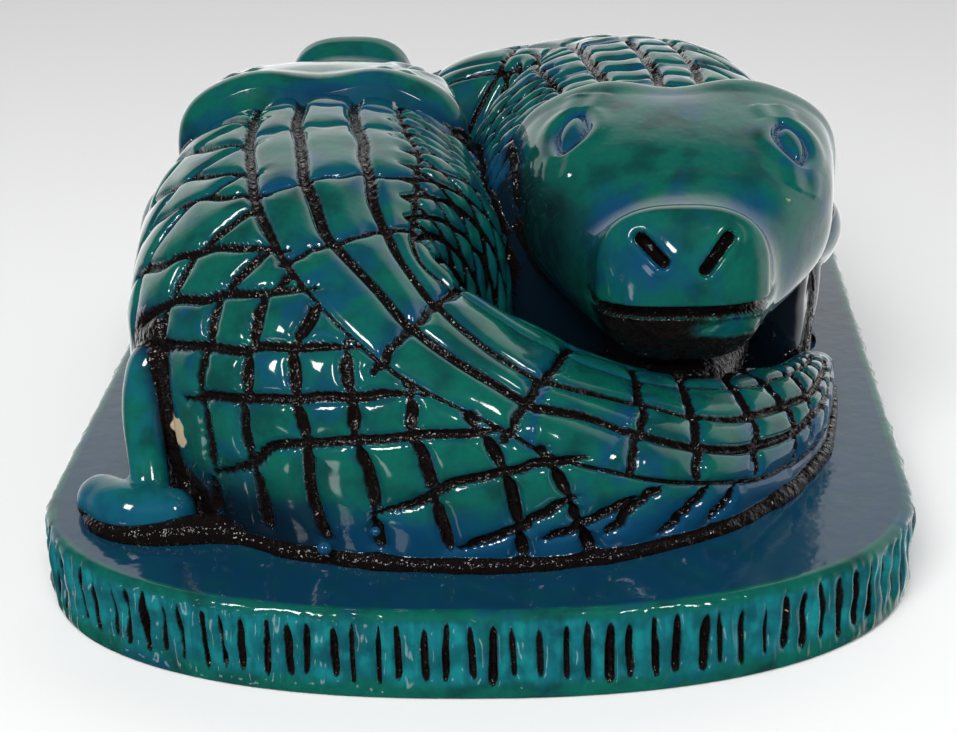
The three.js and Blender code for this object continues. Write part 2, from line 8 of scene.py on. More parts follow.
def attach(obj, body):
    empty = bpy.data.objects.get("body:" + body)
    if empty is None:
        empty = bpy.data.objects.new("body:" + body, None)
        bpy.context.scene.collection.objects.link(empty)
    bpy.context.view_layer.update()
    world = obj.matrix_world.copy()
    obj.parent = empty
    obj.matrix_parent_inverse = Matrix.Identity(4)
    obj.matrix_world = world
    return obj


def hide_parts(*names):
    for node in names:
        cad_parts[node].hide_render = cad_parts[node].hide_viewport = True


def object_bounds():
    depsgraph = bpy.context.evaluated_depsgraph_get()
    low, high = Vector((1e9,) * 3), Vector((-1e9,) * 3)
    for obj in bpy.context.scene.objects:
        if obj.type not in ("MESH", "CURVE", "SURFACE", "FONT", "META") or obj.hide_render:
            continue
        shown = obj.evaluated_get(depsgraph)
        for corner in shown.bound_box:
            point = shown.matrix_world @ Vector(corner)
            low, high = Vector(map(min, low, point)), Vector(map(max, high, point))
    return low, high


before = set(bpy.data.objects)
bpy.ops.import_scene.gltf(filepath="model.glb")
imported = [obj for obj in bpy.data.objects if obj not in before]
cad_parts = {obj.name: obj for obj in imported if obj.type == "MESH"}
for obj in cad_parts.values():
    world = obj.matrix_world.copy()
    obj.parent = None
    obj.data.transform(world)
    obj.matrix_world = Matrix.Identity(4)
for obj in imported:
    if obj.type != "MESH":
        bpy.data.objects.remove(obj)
CAD_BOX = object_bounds()

bl_info = {
    "name": "Crocodiles on a plinth",
    "version": (1, 0, 0),
    "blender": (4, 5, 0),
    "location": "View3D > Sidebar > Crocodiles",
    "description": "Two carved and glazed crocodiles lying head to tail on an oval plinth",
    "category": "Object",
}

# Lengths below are millimetres unless a property carries a unit. Heights of the figure are
# measured from the plinth's top, and every piece stands in the frame's own place.
MM = 0.001
BODY = "root"
NODE = "crocodiles_on_plinth"

# The plinth has straight sides, and each end is half a superellipse
PLINTH_WIDTH = (CAD_BOX[1].x - CAD_BOX[0].x) / MM
PLINTH_LENGTH = (CAD_BOX[1].y - CAD_BOX[0].y) / MM
PLINTH_END_DEPTH = 37.3
PLINTH_END_POWER = 2.3
LIP_ROUND = 1.3
FOOT_ROUND = 0.5
PLINTH_COLUMNS = 1500
EDGE_ROWS = 30
FOOT_ROWS = 4
LIP_ROWS = 9
OUTLINE_STEPS = 200
# How far in from the edge the rings of the underside and the top lie; past SHRUNK_FROM a ring
# is the outline shrunk towards the middle
UNDERSIDE_INSETS = (8, 1.2)
TOP_INSETS = (1.9, 3.2, 6, 12, 20, 30, 45)
SHRUNK_FROM = 3
# The rim attribute rises from 0 to 1 up the plinth's edge and holds these marks elsewhere
UNDERSIDE_MARK = -1
TOP_MARK = 2
# The inner top, between the crocodiles, takes full painted shade
INNER_TOP_MARK = 3
INNER_TOP_FROM = 25
# Least and most of what differs from cut to cut round the edge: shares of the pitch, the mean
# width, the edge's height and the full depth
CUT_SPREAD = {
    "shift": (-0.16, 0.16),
    "width": (0.65, 1.4),
    "foot": (0.12, 0.22),
    "lip": (0.94, 1.03),
    "strength": (0.4, 1.0),
    "lean": (-0.22, 0.22),
}
# A cut fades in from its foot and out to its lip over these shares of the edge's height, and
# its trough ends at this share of its width
CUT_FOOT = (-0.06, 0.14)
CUT_LIP = (-0.03, 0.4)
CUT_REACH = 0.75
# The edge dips this far beside each cut, and is this rough from the tool
SHOULDER_DIP = 0.4
EDGE_ROUGHNESS = 1.2
# The tool's strokes and ripples: how many to a metre, and how little they change with height
STROKES = 800.0
RIPPLES = 260.0
STROKE_STRETCH = 0.0015
# Shares of the edge's height: where it is rough, and where its glaze is thin
ROUGH_FROM = (0.02, 0.12)
ROUGH_TO = (0.88, 1.0)
THIN_FROM = (0.1, 0.3)
THIN_TO = (0.86, 0.97)
# Where the strokes lie on their scale, and how thin the glaze is at both ends of it
STROKE_THINNESS = (0.38, 0.62, 0.4, 0.95)
# How much glaze pools in the cuts, from which share of their depth to which
EDGE_POOL = 0.85
EDGE_POOL_DEPTHS = (0.03, 0.42)
# How blue and how shaded the plinth is
EDGE_BLUE = 0.55
TOP_BLUE = 0.75
TOP_SHADE = 0.42

# The ridge of the left crocodile's back, neck to tail tip:
# x, y, height, half width to the outside of the bend, half width to the inside
LEFT_RIDGE = [
    (-24.5, 14, 41.7, 26, 26),
    (-24.6, 2, 44.2, 29, 27),
    (-24.4, -13, 44.8, 30, 28),
    (-22.5, -24, 44.6, 30.5, 28),
    (-19.3, -36, 43, 31.2, 23),
    (-13.2, -46, 38.6, 28.2, 17),
    (-3.5, -51.5, 32.6, 23.5, 13),
    (8, -51.5, 25.8, 23, 12),
    (18, -49.5, 19.8, 21.7, 11),
    (29.5, -45, 15, 18.8, 9.5),
    (38, -40.5, 13.2, 13.6, 8.5),
    (44.3, -35.1, 11.8, 9, 7),
    (47.6, -29.8, 10.2, 6.2, 5.6),
    (49.9, -23.9, 8.6, 4.7, 4.7),
    (51.9, -16, 6.2, 3.6, 3.8),
]
# The right crocodile's back is higher at the hips than the left one's
HIP_RISE = [0, 0, -0.4, -0.2, 0.3, 1.8, 4.7, 8, 7, 4.5, 2.5, 1.2, 0.5, 0, 0]
RIGHT_RIDGE = [
    (-x, -y, z + rise, outer, inner)
    for (x, y, z, outer, inner), rise in zip(LEFT_RIDGE, HIP_RISE)
]
# A body's section is a superellipse above a waist, and draws in below it into the plinth
BODY_POWER = 2.35
BODY_WAIST = 0.42
BODY_FOOT_ANGLE = math.radians(112)
SINK = 1.5
CHEST_REACH = 7
TAIL_TIP_REACH = 2.4
SECTION_STEPS = 61
# Where the rings of a rounded end lie, as shares of its reach
END_SHARES = (0.2, 0.38, 0.55, 0.7, 0.82, 0.91, 0.97, 0.995)
# Points over the inner and the outer side, and the step between rings from each distance on
INNER_COLUMNS = 104
OUTER_COLUMNS = 124
RING_STEPS = [(0, 1.0), (10, 0.5), (30, 0.36), (120, 0.42)]

# Lengthwise grooves of the back: distance along the ridge, distance over the back from it,
# with the outer side of the bend positive
COLUMN_GROOVES = [
    [(6, 11.2), (45, 11.7), (60, 14), (69, 17.4), (78, 22.5), (84, 24.3), (100, 23.8), (107, 23),
     (114, 21), (120, 18.2), (130, 13), (142, 7)],
    [(6, 4.3), (50, 4.3), (58, 5.7), (69, 8.6), (79, 15.9), (84, 17.7), (92, 16.7), (105, 17.7),
     (111.5, 16.3), (118.5, 13.9), (128, 8.9), (142, 4.4)],
    [(6, -4.3), (55, -4.2), (65, -1.2), (74.5, 5.1), (81, 10.9), (86, 12.5), (93, 10.6), (108, 11.1),
     (119.5, 8.7), (129.5, 5.5), (142, 2.4)],
    [(6, -11.5), (55, -11.6), (62, -8.5), (70.5, -1.9), (78.5, -1.4), (86.5, 2.2), (94, 3), (106, 3),
     (119, 2.7), (126.5, 1.6), (142, 0)],
    [(66, -9), (76, -6.4), (86, -3.8), (105, -3.4), (125, -3.2), (140, -2.4)],
]
# How wide each lengthwise groove is before and after the hips
COLUMN_WEIGHTS = [(0.95, 0.42), (1.05, 0.95), (1.05, 0.95), (0.45, 0.6), (0.4, 0.4)]
HIPS = (54, 66)
# Grooves across the back: distance at the ridge, and how far each leans towards the head
CROSS_GROOVES = [
    (19, 0), (30, 0), (50, 0), (62.6, 0.1), (75, 0.15), (91, 0.4), (100.7, 0.28), (107.6, 0.29),
    (115.2, 0.2), (120.5, 0.12), (126.5, 0.3), (130.7, 0.35), (134.7, 0.3), (139, 0.2),
]
# A groove across shifts by up to this, and by less past the steady distance. Between two
# lengthwise grooves it is cut only this far behind the start of the lower one
CROSS_SHIFT = 0.5
CROSS_STEADY = 60
CROSS_CLEAR = 2
# The right crocodile's neck has rounded scutes in offset rows
NAPE_PITCH = 6.5
NAPE_FROM = 12
NAPE_TO = 60
# Nearly upright cuts of the outer flank: distance at the high and at the low end
FLANK_CUTS = [(5.2 + 10.2 * k, 9.7 + 10.2 * k) for k in range(5)] + [
    (53.7, 57), (59.3, 61), (62.5, 64.5), (66, 68.6), (69.5, 72.6), (73.4, 76.3), (77, 82.6),
    (82.5, 89.3),
]
# Those ends lie at these shares of the section's angle
FLANK_HIGH = 0.4
FLANK_FOOT = 0.93
# They start at least this share below the outermost lengthwise groove
FLANK_CLEAR = 0.02
# Where an upright cut meets a slanting one it has the first share of its width, and within
# this distance it gains the second; its depth grows with its width in the same way
LENS_REACH = 2.4
LENS_WIDTH = (0.3, 0.8)
LENS_DEPTH = (0.8, 0.5)
# Slanting cuts of the outer flank: distance and share of the flank at the low and the high end
DIAGONALS = [
    (4, 0.62, 23.5, 0.14), (14, 0.62, 34, 0.14), (25, 0.62, 45, 0.14), (38, 0.56, 50.5, 0.14),
    (45, 0.64, 59.5, 0.19), (50.5, 0.68, 65, 0.24), (54, 0.71, 70, 0.38), (58.5, 0.77, 75, 0.49),
    (61, 0.87, 81, 0.56), (72.5, 0.87, 89.5, 0.6), (77, 0.93, 88, 0.8), (85, 0.9, 94, 0.8),
    (91, 0.89, 97, 0.76), (97, 0.91, 102.5, 0.79), (103, 0.9, 107, 0.81),
]
# A slanting cut's width at its ends, and the share of its length over which it widens
DIAGONAL_END = 0.4
DIAGONAL_TAPER = 0.15
# Leaf-shaped scales of the inner flank
INNER_NET_FROM = 8
INNER_NET_TO = 84
INNER_NET_PITCH = 5.2
INNER_NET_LEAN = 13
INNER_NET_OVERRUN = 6
INNER_NET_SHARES = (0.2, 0.82)
# Depth and width of the finer cuts, as shares of the lengthwise grooves'
CROSS_SIZE = (0.85, 0.7)
DIAGONAL_SIZE = (0.95, 0.85)
INNER_SIZE = (0.75, 0.6)
# Points along one cut of each kind
CROSS_POINTS = 26
DIAGONAL_POINTS = 90
FLANK_POINTS = 120
INNER_POINTS = 60
# A hand-cut line wanders in waves, each shorter than the one before by this share
WAVES = 3
WAVE_SHARE = 0.83
# How far a hand-cut line wanders, and over what length
COLUMN_WANDER = (0.35, 31)
CROSS_WANDER = (0.25, 9)
DIAGONAL_WANDER = (0.5, 19)
FLANK_WANDER = (0.4, 17)
# The flank's cuts are about this long, and start their wander from seeds of their own
FLANK_LENGTH = 30
FLANK_SEED = 20
DIAGONAL_SEED = 50
# The hand's soft lumps: seed, height, length
LENGTHWISE_LUMPS = (5, 0.12, 23)
CROSSWISE_LUMPS = (6, 0.12, 17)
# The carving is full where the body's half width is this, and never gets below a share of it
FULL_RELIEF_WIDTH = 8
LEAST_RELIEF = 0.45
# A groove narrows less than it gets shallow
NARROWING = 0.6
# A cut ends this many half widths from its middle, and its pooled glaze fades between these
CUT_EDGE = 1.2
CUT_POOL = (0.3, 1.1)
# A scute rises from its grooves over this distance, and dips towards its rear edge by this
SWELL_REACH = 1.3
TILE_DIP = 0.35
# The back's scutes lie between these lengthwise grooves, and fade out over this distance
SCUTE_GROOVES = (0, 3)
SCUTE_FADE = 2
# The carving fades out between the plinth's top and this height
BURIED = -0.6
# Where a body's glaze pools and turns blue: ranges of height and of distance along the ridge
POOL_HEIGHTS = (1, 2.2)
LOW_FLANK_HEIGHTS = (3, 13)
LOW_FLANK_FROM = (30, 60)
UNDER_SKULL_TO = (13, 17)
# How blue the glaze is in the grooves, at a scute's rear edge, low on the flank and under the
# skull
GROOVE_BLUE = 0.8
REAR_EDGE_BLUE = 0.9
LOW_FLANK_BLUE = 0.95
UNDER_SKULL_BLUE = 0.9
# Shaded stretches of a body: where each begins and ends along the ridge, the heights between
# which it fades, whether it is on the outer flank alone, and its strength
ALWAYS = (-2, -1)
ALL_HEIGHTS = (98, 99)
BODY_SHADES = [
    (ALWAYS, (12, 20), (22, 32), False, 0.85),
    ((44, 52), (64, 76), (5, 15), True, 0.85),
    ((40, 52), (105, 125), (6, 18), False, 0.12),
    (ALWAYS, (1, 5), ALL_HEIGHTS, False, 0.9),
]
# The glaze is worn off the left crocodile's flank behind its hind leg
BARE_SPOT = (-38.9, -56.2, 13)
BARE_SPOT_RADIUS = 4.9
BARE_SPOT_FROM = 0.5

# The right crocodile's head, nose to neck: y, middle x, top, underside, half width, power
HEAD = [
    (-52.7, 29.4, 33.6, 30.4, 2, 2.1),
    (-52.2, 29.4, 35.3, 25.6, 5.4, 2.2),
    (-50.8, 29.5, 38.5, 22, 8.9, 2.5),
    (-48.6, 29.6, 41, 19.2, 11.5, 2.8),
    (-45.5, 29.7, 41.2, 17, 12.4, 2.8),
    (-42, 29.7, 39.5, 16.4, 12.9, 2.7),
    (-37, 29.6, 39.2, 16, 14.6, 2.6),
    (-31, 29.8, 41, 16.4, 18.6, 2.6),
    (-24, 30, 43.4, 16.8, 22.4, 2.7),
    (-16, 30, 45.2, 16.6, 24, 3),
    (-9, 30, 46.2, 16, 24.6, 3.1),
    (-3.5, 30, 46.6, 15, 25, 2.8),
    (-1.5, 30, 45.2, 15, 23, 2.8),
]
HEAD_WAIST = 0.55
HEAD_ROWS = 240
HEAD_SIDES = 216
HEAD_STEPS = 4000
HEAD_MIDDLE = 30
# The left crocodile's head lies nearer the middle and is a little narrower
LEFT_HEAD_SHIFT = 3.5
LEFT_HEAD_WIDTH = 0.94
# The skull's rear edge dips in the middle and rises in a lobe on either side, so many
# widths of the dip away
SKULL_NOTCH_DEPTH = 1.2
SKULL_NOTCH_WIDTH = 7
SKULL_NOTCH_FROM = -14
SKULL_NOTCH_TO = -2
SKULL_LOBE_RISE = 0.6
SKULL_LOBE_AT = 1.5
# Each nostril is a slot between two points, with a raised rim at a distance from its line
NOSTRILS = [((23.6, -50.6, 38.3), (26.8, -51.8, 35.1)), ((35.9, -50.4, 38.2), (32.6, -52, 34))]
NOSTRIL_WIDTH = 1.2
NOSTRIL_DEPTH = 2.6
NOSTRIL_FLOOR = 0.35
NOSTRIL_RIM = 1.6
NOSTRIL_RIM_WIDTH = 0.7
NOSTRIL_RIM_RISE = 0.25
# The mouth's line falls towards the cheeks, and the jaw below it is set back
MOUTH_HEIGHT = 27.7
MOUTH_DROOP = 0.14
MOUTH_GAP = 1.05
MOUTH_EDGE = (0.4, 1.15)
MOUTH_DEPTH = 1.8
MOUTH_BACK = -38
MOUTH_FADE = 6
JAW_SETBACK = 0.6
JAW_EDGE = (-0.5, 2)
# The jaw below the mouth takes dark glaze and painted shade of this strength
JAW_GLAZE_AND_SHADE = 0.75
# A green patch where the jaw is lit, free of its dark glaze and painted shade: place across from the
# head's middle and below the mouth
JAW_PATCH = (7.5, 3)
JAW_PATCH_SIZE = (6, 1.5)
JAW_PATCH_STRENGTH = 1.15
# Each eye lies between its corners: a ball in a groove, inside a raised lid
EYES = [((15.9, -11.9, 44.3), (13, -22.8, 40.6)), ((45.4, -15.5, 43.3), (48, -25, 39))]
EYE_WIDTH = 2.5
EYE_REACH = 1.8
EYEBALL_RISE = 0.9
EYE_GROOVE = 0.85
EYE_GROOVE_WIDTH = 0.75
EYELID_RISE = 0.35
EYELID_AT = 2
EYELID_WIDTH = 1.3
# Glaze pools in the line round each eye from this share of its depth, and turns blue there
EYE_POOL_FROM = 0.55
EYE_POOL = 0.45
EYE_BLUE = 1.2
# Shallow hollows on both sides of the snout
SNOUT_HOLLOWS = [(20.5, -38, 36), (39.5, -38, 36)]
SNOUT_HOLLOW_SIZE = (5.5, 6, 7)
SNOUT_HOLLOW_DEPTH = 0.9
# Where the head's glaze turns blue: beside the left nostril and on the low cheeks
NOSE_TINT = (24.5, -51, 34.5)
NOSE_TINT_SIZE = (6.5, 6, 5.5)
NOSE_TINT_STRENGTH = 0.85
LOW_CHEEK_HEIGHTS = (14, 30)
LOW_CHEEK_STRENGTH = 0.3
# Shade under the jowls, and on the cheek that faces the other crocodile
JOWL_HEIGHTS = (17.5, 23)
JOWL_SHADE = 0.9
INNER_CHEEK = (HEAD_MIDDLE - 19, HEAD_MIDDLE - 8)
INNER_CHEEK_HEIGHTS = (35, 42)
INNER_CHEEK_SHADE = 0.75

# Limbs of the left crocodile: each is a chain of rounded knuckles x, y, z, radius
HIND_LEG = [
    (-38, -44, 19, 7),
    (-45.2, -51.2, 19.4, 3.8),
    (-46.3, -53, 14.4, 3.4),
    (-46.3, -55.2, 8.6, 2.9),
    (-45.6, -58, 4, 2.8),
]
HIND_FOOT = [(-42.2, -61, 1.9, 3.6), (-47.5, -61, 2, 4.2), (-53, -56.6, 1.6, 3.9)]
FRONT_ARM = [(-46, 9, 25, 6.5), (-50.4, 3, 22.5, 6.6), (-51, -2.5, 18.4, 6.2)]
FRONT_LEG = [(-49.5, 0, 18, 5), (-49.3, 5, 12, 4.4), (-48.6, 8.5, 5.5, 3.8), (-48.5, 11.5, 1.3, 3.6)]
# The neck under the right crocodile's jaw
THROAT = [(29.6, -36, 8.5, 9), (29.8, -27, 9.5, 10.5), (30, -18, 10.5, 12)]
LIMB_VOXEL = 0.35
THROAT_VOXEL = 0.5
LIMB_SIDES = 28
LIMB_RINGS = 46
# A limb's rings are turned by this direction, which no limb follows
LIMB_REFERENCE = (0.3, 0.2, 0.93)
LIMB_SOFTENING = 14
# Painted shade: the throats take this much, with as much dark glaze; the front legs below a height,
# fading over SHADE_FADE, and every limb near the plinth take LIMB_SHADE
THROAT_GLAZE_AND_SHADE = 0.7
FRONT_LEG_SHADE_BELOW = 13
SHADE_FADE = 3
HIND_LEG_PALENESS = 0.22
LOW_LIMB_HEIGHTS = (2.5, 9)
LOW_LIMB_BLUE = 0.9
LIMB_SHADE = 0.9
LIMB_END_SHARES = (0.35, 0.65, 0.88, 0.98)

# Dark glaze that ran together in front of the left crocodile's hind foot: x, y, height, radius
FOOT_POOL = [
    (-55, -56.5, 0.1, 1.5),
    (-52.6, -61.6, 0.1, 1.8),
    (-48.6, -64.4, 0.2, 2),
    (-44, -65.3, 0.3, 2.1),
    (-39.5, -64.6, 0.5, 2.6),
    (-35.5, -64.2, 0.5, 2.6),
    (-31.5, -65.2, 0.2, 2),
]
# A roll of glaze follows the line where each body meets the plinth, from these distances on
# along its outer and its inner side
ROLL_STARTS = {1: 16, -1: 60}
ROLL_HEIGHT = 0.15
ROLL_RADIUS = 1.6
ROLL_STEP = 0.7
ROLL_SEED = 2.0
ROLL_SIDES = 14
ROLL_LUMPS = 130.0
# Beads of glaze beside the left crocodile: x, y, height, radius
GLAZE_BEADS = [(-19.1, -73.4, 3.0, 1.05), (-11.9, -75.4, 6.6, 0.7)]
BEAD_FLATNESS = 0.9
BEAD_SIDES = 32
BEAD_RINGS = 20

# Where pieces meet, dark glaze pools, the glaze turns blue and painted shade darkens it: how far
# to look, the distance within which it is full, and how far the pooled glaze, the blue and the
# painted shade reach
CREVICE_SEARCH = 8
CREVICE_FULL = 0.3
POOL_REACH = 1.3
LEFT_BODY_POOL_REACH = 2.6
BLUE_REACH = 4
SHADE_REACH = 3
# How blue and how shaded the glaze is in a crevice
CREVICE_BLUE = 0.9
CREVICE_SHADE = 0.8
# No glaze pools in a crevice above these heights, and half the shade lies in it
CREVICE_CLEAR = (36, 41)
# A hind leg stands close beside the flank, so it counts as nearer than it is
HIND_LEG_NEARNESS = 0.45

# What each point of a piece says of its glaze and of its painted shade: pooled, blue, worn off,
# painted shade, thin
LOOKS = ("pool", "hollow", "bare", "shade", "thin")
# Sizes of the glaze's mottling and lumps
GRAIN = 0.9
DULL_PATCHES = 5.5
MISSED_SPECKS = 1.6
WORN_EDGE = 2.2
SHALLOW_WAVES = 3.5
POOL_LUMPS = 1.4
BUMP_HEIGHT = 0.4
# Where on its scale each pattern begins and is full
SECOND_GREEN_RANGE = (0.3, 0.8)
DULL_RANGE = (0.42, 0.7)
BLOTCH_RANGE = (0.48, 0.66)
BLUE_RANGE = (0.05, 0.95)
POOL_RANGE = (0.25, 0.6)
BROWN_RANGE = (0.5, 0.7)
MISSED_RANGE = (0.72, 0.76)
WORN_RANGE = (0.45, 0.6)
# How strongly the mottling shifts the blue, the edge of a pool and the edge of the worn spot
BLOTCH_BLUE = 0.5
BLUE_MOTTLE = 0.9
POOL_MOTTLE = 0.3
WORN_MOTTLE = 1.6
# Heights of the glaze's waves and of the lumps in its pools, as shares of the bump's height
WAVE_HEIGHT = 0.35
LUMP_HEIGHT = 3.2
BUMP_STRENGTH = 0.6
# The bare body is rougher than the glaze and the pools are smoother, and the glaze mirrors
# less where it pools
BARE_ROUGHNESS = 0.6
POOL_ROUGHNESS = -0.035
GLAZE_IOR = 1.5
MIRRORING = (0.35, 0.13)

FLOOR_REACH = 2500
FLOOR_ROUGHNESS = 0.9
FLOOR_MIRRORING = 0.1
# Windows seen in the glaze: name, azimuth, elevation, distance, width and height, power
WINDOWS = [
    ("left_window", -37, 42, 700, (150, 190), 3.8),
    ("right_window", 30, 42, 700, (120, 150), 2.2),
]
OVERHEAD = ("overhead", -8, 47, 900, (700, 600), 9.6)
LIGHT_TARGET = (0, -20, 25)
# The room gets brighter away from the viewer and to the right, and dimmer up and down
ROOM_STEEPNESS = 0.5
ROOM_RIGHT = 0.6
ROOM_EASE = (0.1, 0.6)
# Direction and spread of the lit patch of table that the near flank mirrors
TABLE_GLINT = (-0.562, -0.746, -0.358)
TABLE_GLINT_EDGE = (0.988, 0.997)

# The photograph's viewpoint
CAMERA_PLACE = (16.77666, -307.41331, 146.73024)
CAMERA_AZIMUTH = math.radians(3.50822)
CAMERA_ELEVATION = math.radians(24)
CAMERA_ROLL = -0.03514
CAMERA_LENS = 75.309
CAMERA_SENSOR = 36
CAMERA_NEAR = 10


def length_setting(name, description, default):
    return bpy.props.FloatProperty(name=name, description=description, default=default,
                                   unit="LENGTH", precision=5)


def colour_setting(name, description, default):
    return bpy.props.FloatVectorProperty(name=name, description=description, default=default,
                                         subtype="COLOR")


def number_setting(name, description, default):
    return bpy.props.FloatProperty(name=name, description=description, default=default,
                                   subtype="FACTOR")


class PlinthSettings(bpy.types.PropertyGroup):
    thickness: length_setting("Thickness", "Height of the plinth", 0.0128)
    cut_pitch: length_setting("Cut pitch", "Distance from cut to cut round the edge", 0.00305)
    cut_width: length_setting("Cut width", "Mean width of a cut", 0.001)
    cut_depth: length_setting("Cut depth", "Depth of the deepest cuts", 0.0013)
    seed: bpy.props.IntProperty(name="Seed", description="Changes the hand-made cuts", default=7)


class CarvingSettings(bpy.types.PropertyGroup):
    groove_width: length_setting("Groove width", "Width of the lengthwise grooves", 0.0023)
    groove_depth: length_setting("Groove depth", "Depth of the lengthwise grooves", 0.0012)
    swell: length_setting("Scute swell", "How far a scute stands up between grooves", 0.0007)
    seed: bpy.props.IntProperty(name="Seed", description="Changes the hand-made lines", default=3)


class GlazeSettings(bpy.types.PropertyGroup):
    green: colour_setting("Green", "Glaze where it is thin", (0.003, 0.105, 0.075))
    second_green: colour_setting("Second green", "Fine specks in the green", (0.004, 0.085, 0.07))
    dull_green: colour_setting("Dull green", "Thicker green in soft patches", (0.003, 0.05, 0.045))
    blue: colour_setting("Blue", "Glaze where it gathers", (0.004, 0.055, 0.125))
    dark: colour_setting("Dark", "Glaze pooled in the cuts", (0.006, 0.004, 0.004))
    brown: colour_setting("Brown", "Brown patches in the pooled glaze", (0.006, 0.0045, 0.0035))
    pale: colour_setting("Pale", "Thin glaze with the pale body showing through", (0.008, 0.21, 0.22))
    # The deep colour is painted shade: the glaze takes it where the shade attribute says it lies in
    # shadow
    deep: colour_setting("Deep", "Thick glaze in the shaded hollows", (0.003, 0.008, 0.014))
    bare: colour_setting("Bare body", "Unglazed body", (0.5, 0.4, 0.26))
    roughness: number_setting("Roughness", "Roughness of the glaze", 0.09)
    blotch: length_setting("Blotch size", "Size of the blue and green blotches", 0.014)


class StageSettings(bpy.types.PropertyGroup):
    floor: colour_setting("Floor", "Colour of the floor", (0.95, 0.95, 0.95))
    table_glint: number_setting("Table glint", "Brightness of the lit patch of table", 5.0)
    back_light: number_setting("Back light", "Brightness behind the figure", 1.3)
    front_light: number_setting("Front light", "Brightness on the viewer's side", 0.06)


def smooth(low, high, value):
    """0 below low, 1 above high and an even ease between them."""
    share = np.clip((np.asarray(value, float) - low) / (high - low), 0, 1)
    return share * share * (3 - 2 * share)


def fade(low, high, value):
    """1 below low, 0 above high and an even ease between them."""
    return 1 - smooth(low, high, value)


def bell(value):
    """1 at nought, falling away evenly on both sides."""
    return np.exp(-(value ** 2))


def most(*layers):
    """The largest of several layers at each point."""
    return functools.reduce(np.maximum, layers)


def distances(points):
    """Distance of each point of a line from the first, along the line."""
    steps = np.linalg.norm(np.diff(points, axis=0), axis=1)
    return np.concatenate([[0], np.cumsum(steps)])


def smooth_table(rows, at):
    """Smooth curve through rows at the distances at: returns a function of distance."""
    rows = np.asarray(rows, float)
    at = np.asarray(at, float)
    slope = np.empty_like(rows)
    slope[0] = (rows[1] - rows[0]) / (at[1] - at[0])
    slope[-1] = (rows[-1] - rows[-2]) / (at[-1] - at[-2])
    before = (at[1:-1] - at[:-2])[:, None]
    after = (at[2:] - at[1:-1])[:, None]
    slope_in = (rows[1:-1] - rows[:-2]) / before
    slope_out = (rows[2:] - rows[1:-1]) / after
    slope[1:-1] = (slope_in * after + slope_out * before) / (before + after)

    def sample(distance):
        distance = np.asarray(distance, float)
        i = np.clip(np.searchsorted(at, distance, side="right") - 1, 0, len(at) - 2)
        h = (at[i + 1] - at[i])[:, None]
        x = ((distance - at[i]) / (at[i + 1] - at[i]))[:, None]
        h00 = (1 + 2 * x) * (1 - x) ** 2
        h10 = x * (1 - x) ** 2
        h01 = x * x * (3 - 2 * x)
        h11 = x * x * (x - 1)
        return h00 * rows[i] + h10 * h * slope[i] + h01 * rows[i + 1] + h11 * h * slope[i + 1]

    return sample


class Ridge:
    """The line of a crocodile's back, with the body's section along it."""

    def __init__(self, rows):
        rows = np.asarray(rows, float)
        self.at = distances(rows[:, :2])
        self.length = self.at[-1]
        self.sample = smooth_table(rows, self.at)

    def run(self, along):
        """Unit steps in plan, towards the tail."""
        before = self.sample(np.clip(along - 0.5, 0, self.length))
        after = self.sample(np.clip(along + 0.5, 0, self.length))
        step = (after - before)[:, :2]
        return step / np.linalg.norm(step, axis=1)[:, None]

    def outward(self, along):
        run = self.run(along)
        return np.stack([run[:, 1], -run[:, 0]], axis=1)

    def place(self, along, side, height):
        along = np.asarray(along, float)
        middle = self.sample(along)[:, :2]
        plan = middle + self.outward(along) * np.asarray(side)[:, None]
        return np.column_stack([plan, height])


def section(top, half):
    """Over-the-back distance, sideways reach and height of sections, one row each."""
    angle = np.linspace(0, BODY_FOOT_ANGLE, SECTION_STEPS)
    top = np.asarray(top, float)[:, None]
    half = np.asarray(half, float)[:, None]
    waist = top * BODY_WAIST
    side = np.sin(angle) ** (2 / BODY_POWER) * half
    c = np.cos(angle)
    up = waist + (top - waist) * np.clip(c, 0, 1) ** (2 / BODY_POWER)
    foot_share = np.clip(-c / -math.cos(BODY_FOOT_ANGLE), 0, 1)
    down = waist - (waist + SINK) * foot_share ** (2 / BODY_POWER)
    height = np.where(c >= 0, up, down)
    step = np.hypot(np.diff(side, axis=1), np.diff(height, axis=1))
    over = np.concatenate([np.zeros((len(top), 1)), np.cumsum(step, axis=1)], axis=1)
    return over, side, height


def on_section(ridge, along, over=None, share=None):
    """Points of the body at signed distances over the back, or at signed shares of the
    section's angle."""
    along = np.asarray(along, float)
    rows = ridge.sample(along)
    signed = np.asarray(over if over is not None else share, float)
    half = np.where(signed >= 0, rows[:, 3], rows[:, 4])
    table_over, table_side, table_height = section(rows[:, 2], half)
    side = np.empty(len(along))
    height = np.empty(len(along))
    shares = np.linspace(0, 1, table_over.shape[1])
    for i, value in enumerate(np.abs(signed)):
        knots = table_over[i] if over is not None else shares
        side[i] = np.interp(value, knots, table_side[i])
        height[i] = np.interp(value, knots, table_height[i])
    return ridge.place(along, np.where(signed >= 0, 1, -1) * side, height)


def grid_faces(rows, columns):
    """Quads of a tube of rings; each ring closes on itself."""
    i, k = np.meshgrid(np.arange(rows - 1), np.arange(columns), indexing="ij")
    a = i * columns + k
    b = i * columns + (k + 1) % columns
    return np.stack([a, b, b + columns, a + columns], axis=-1).reshape(-1, 4)


def capped_tube(grid):
    """Points and faces of a closed tube through the rings of a grid."""
    rows, columns = grid.shape[:2]
    points = grid.reshape(-1, 3)
    faces = grid_faces(rows, columns).tolist()
    start = len(points)
    points = np.concatenate([points, grid[0].mean(0)[None], grid[-1].mean(0)[None]])
    last = (rows - 1) * columns
    for k in range(columns):
        following = (k + 1) % columns
        faces.append([start, following, k])
        faces.append([start + 1, last + k, last + following])
    return points, faces


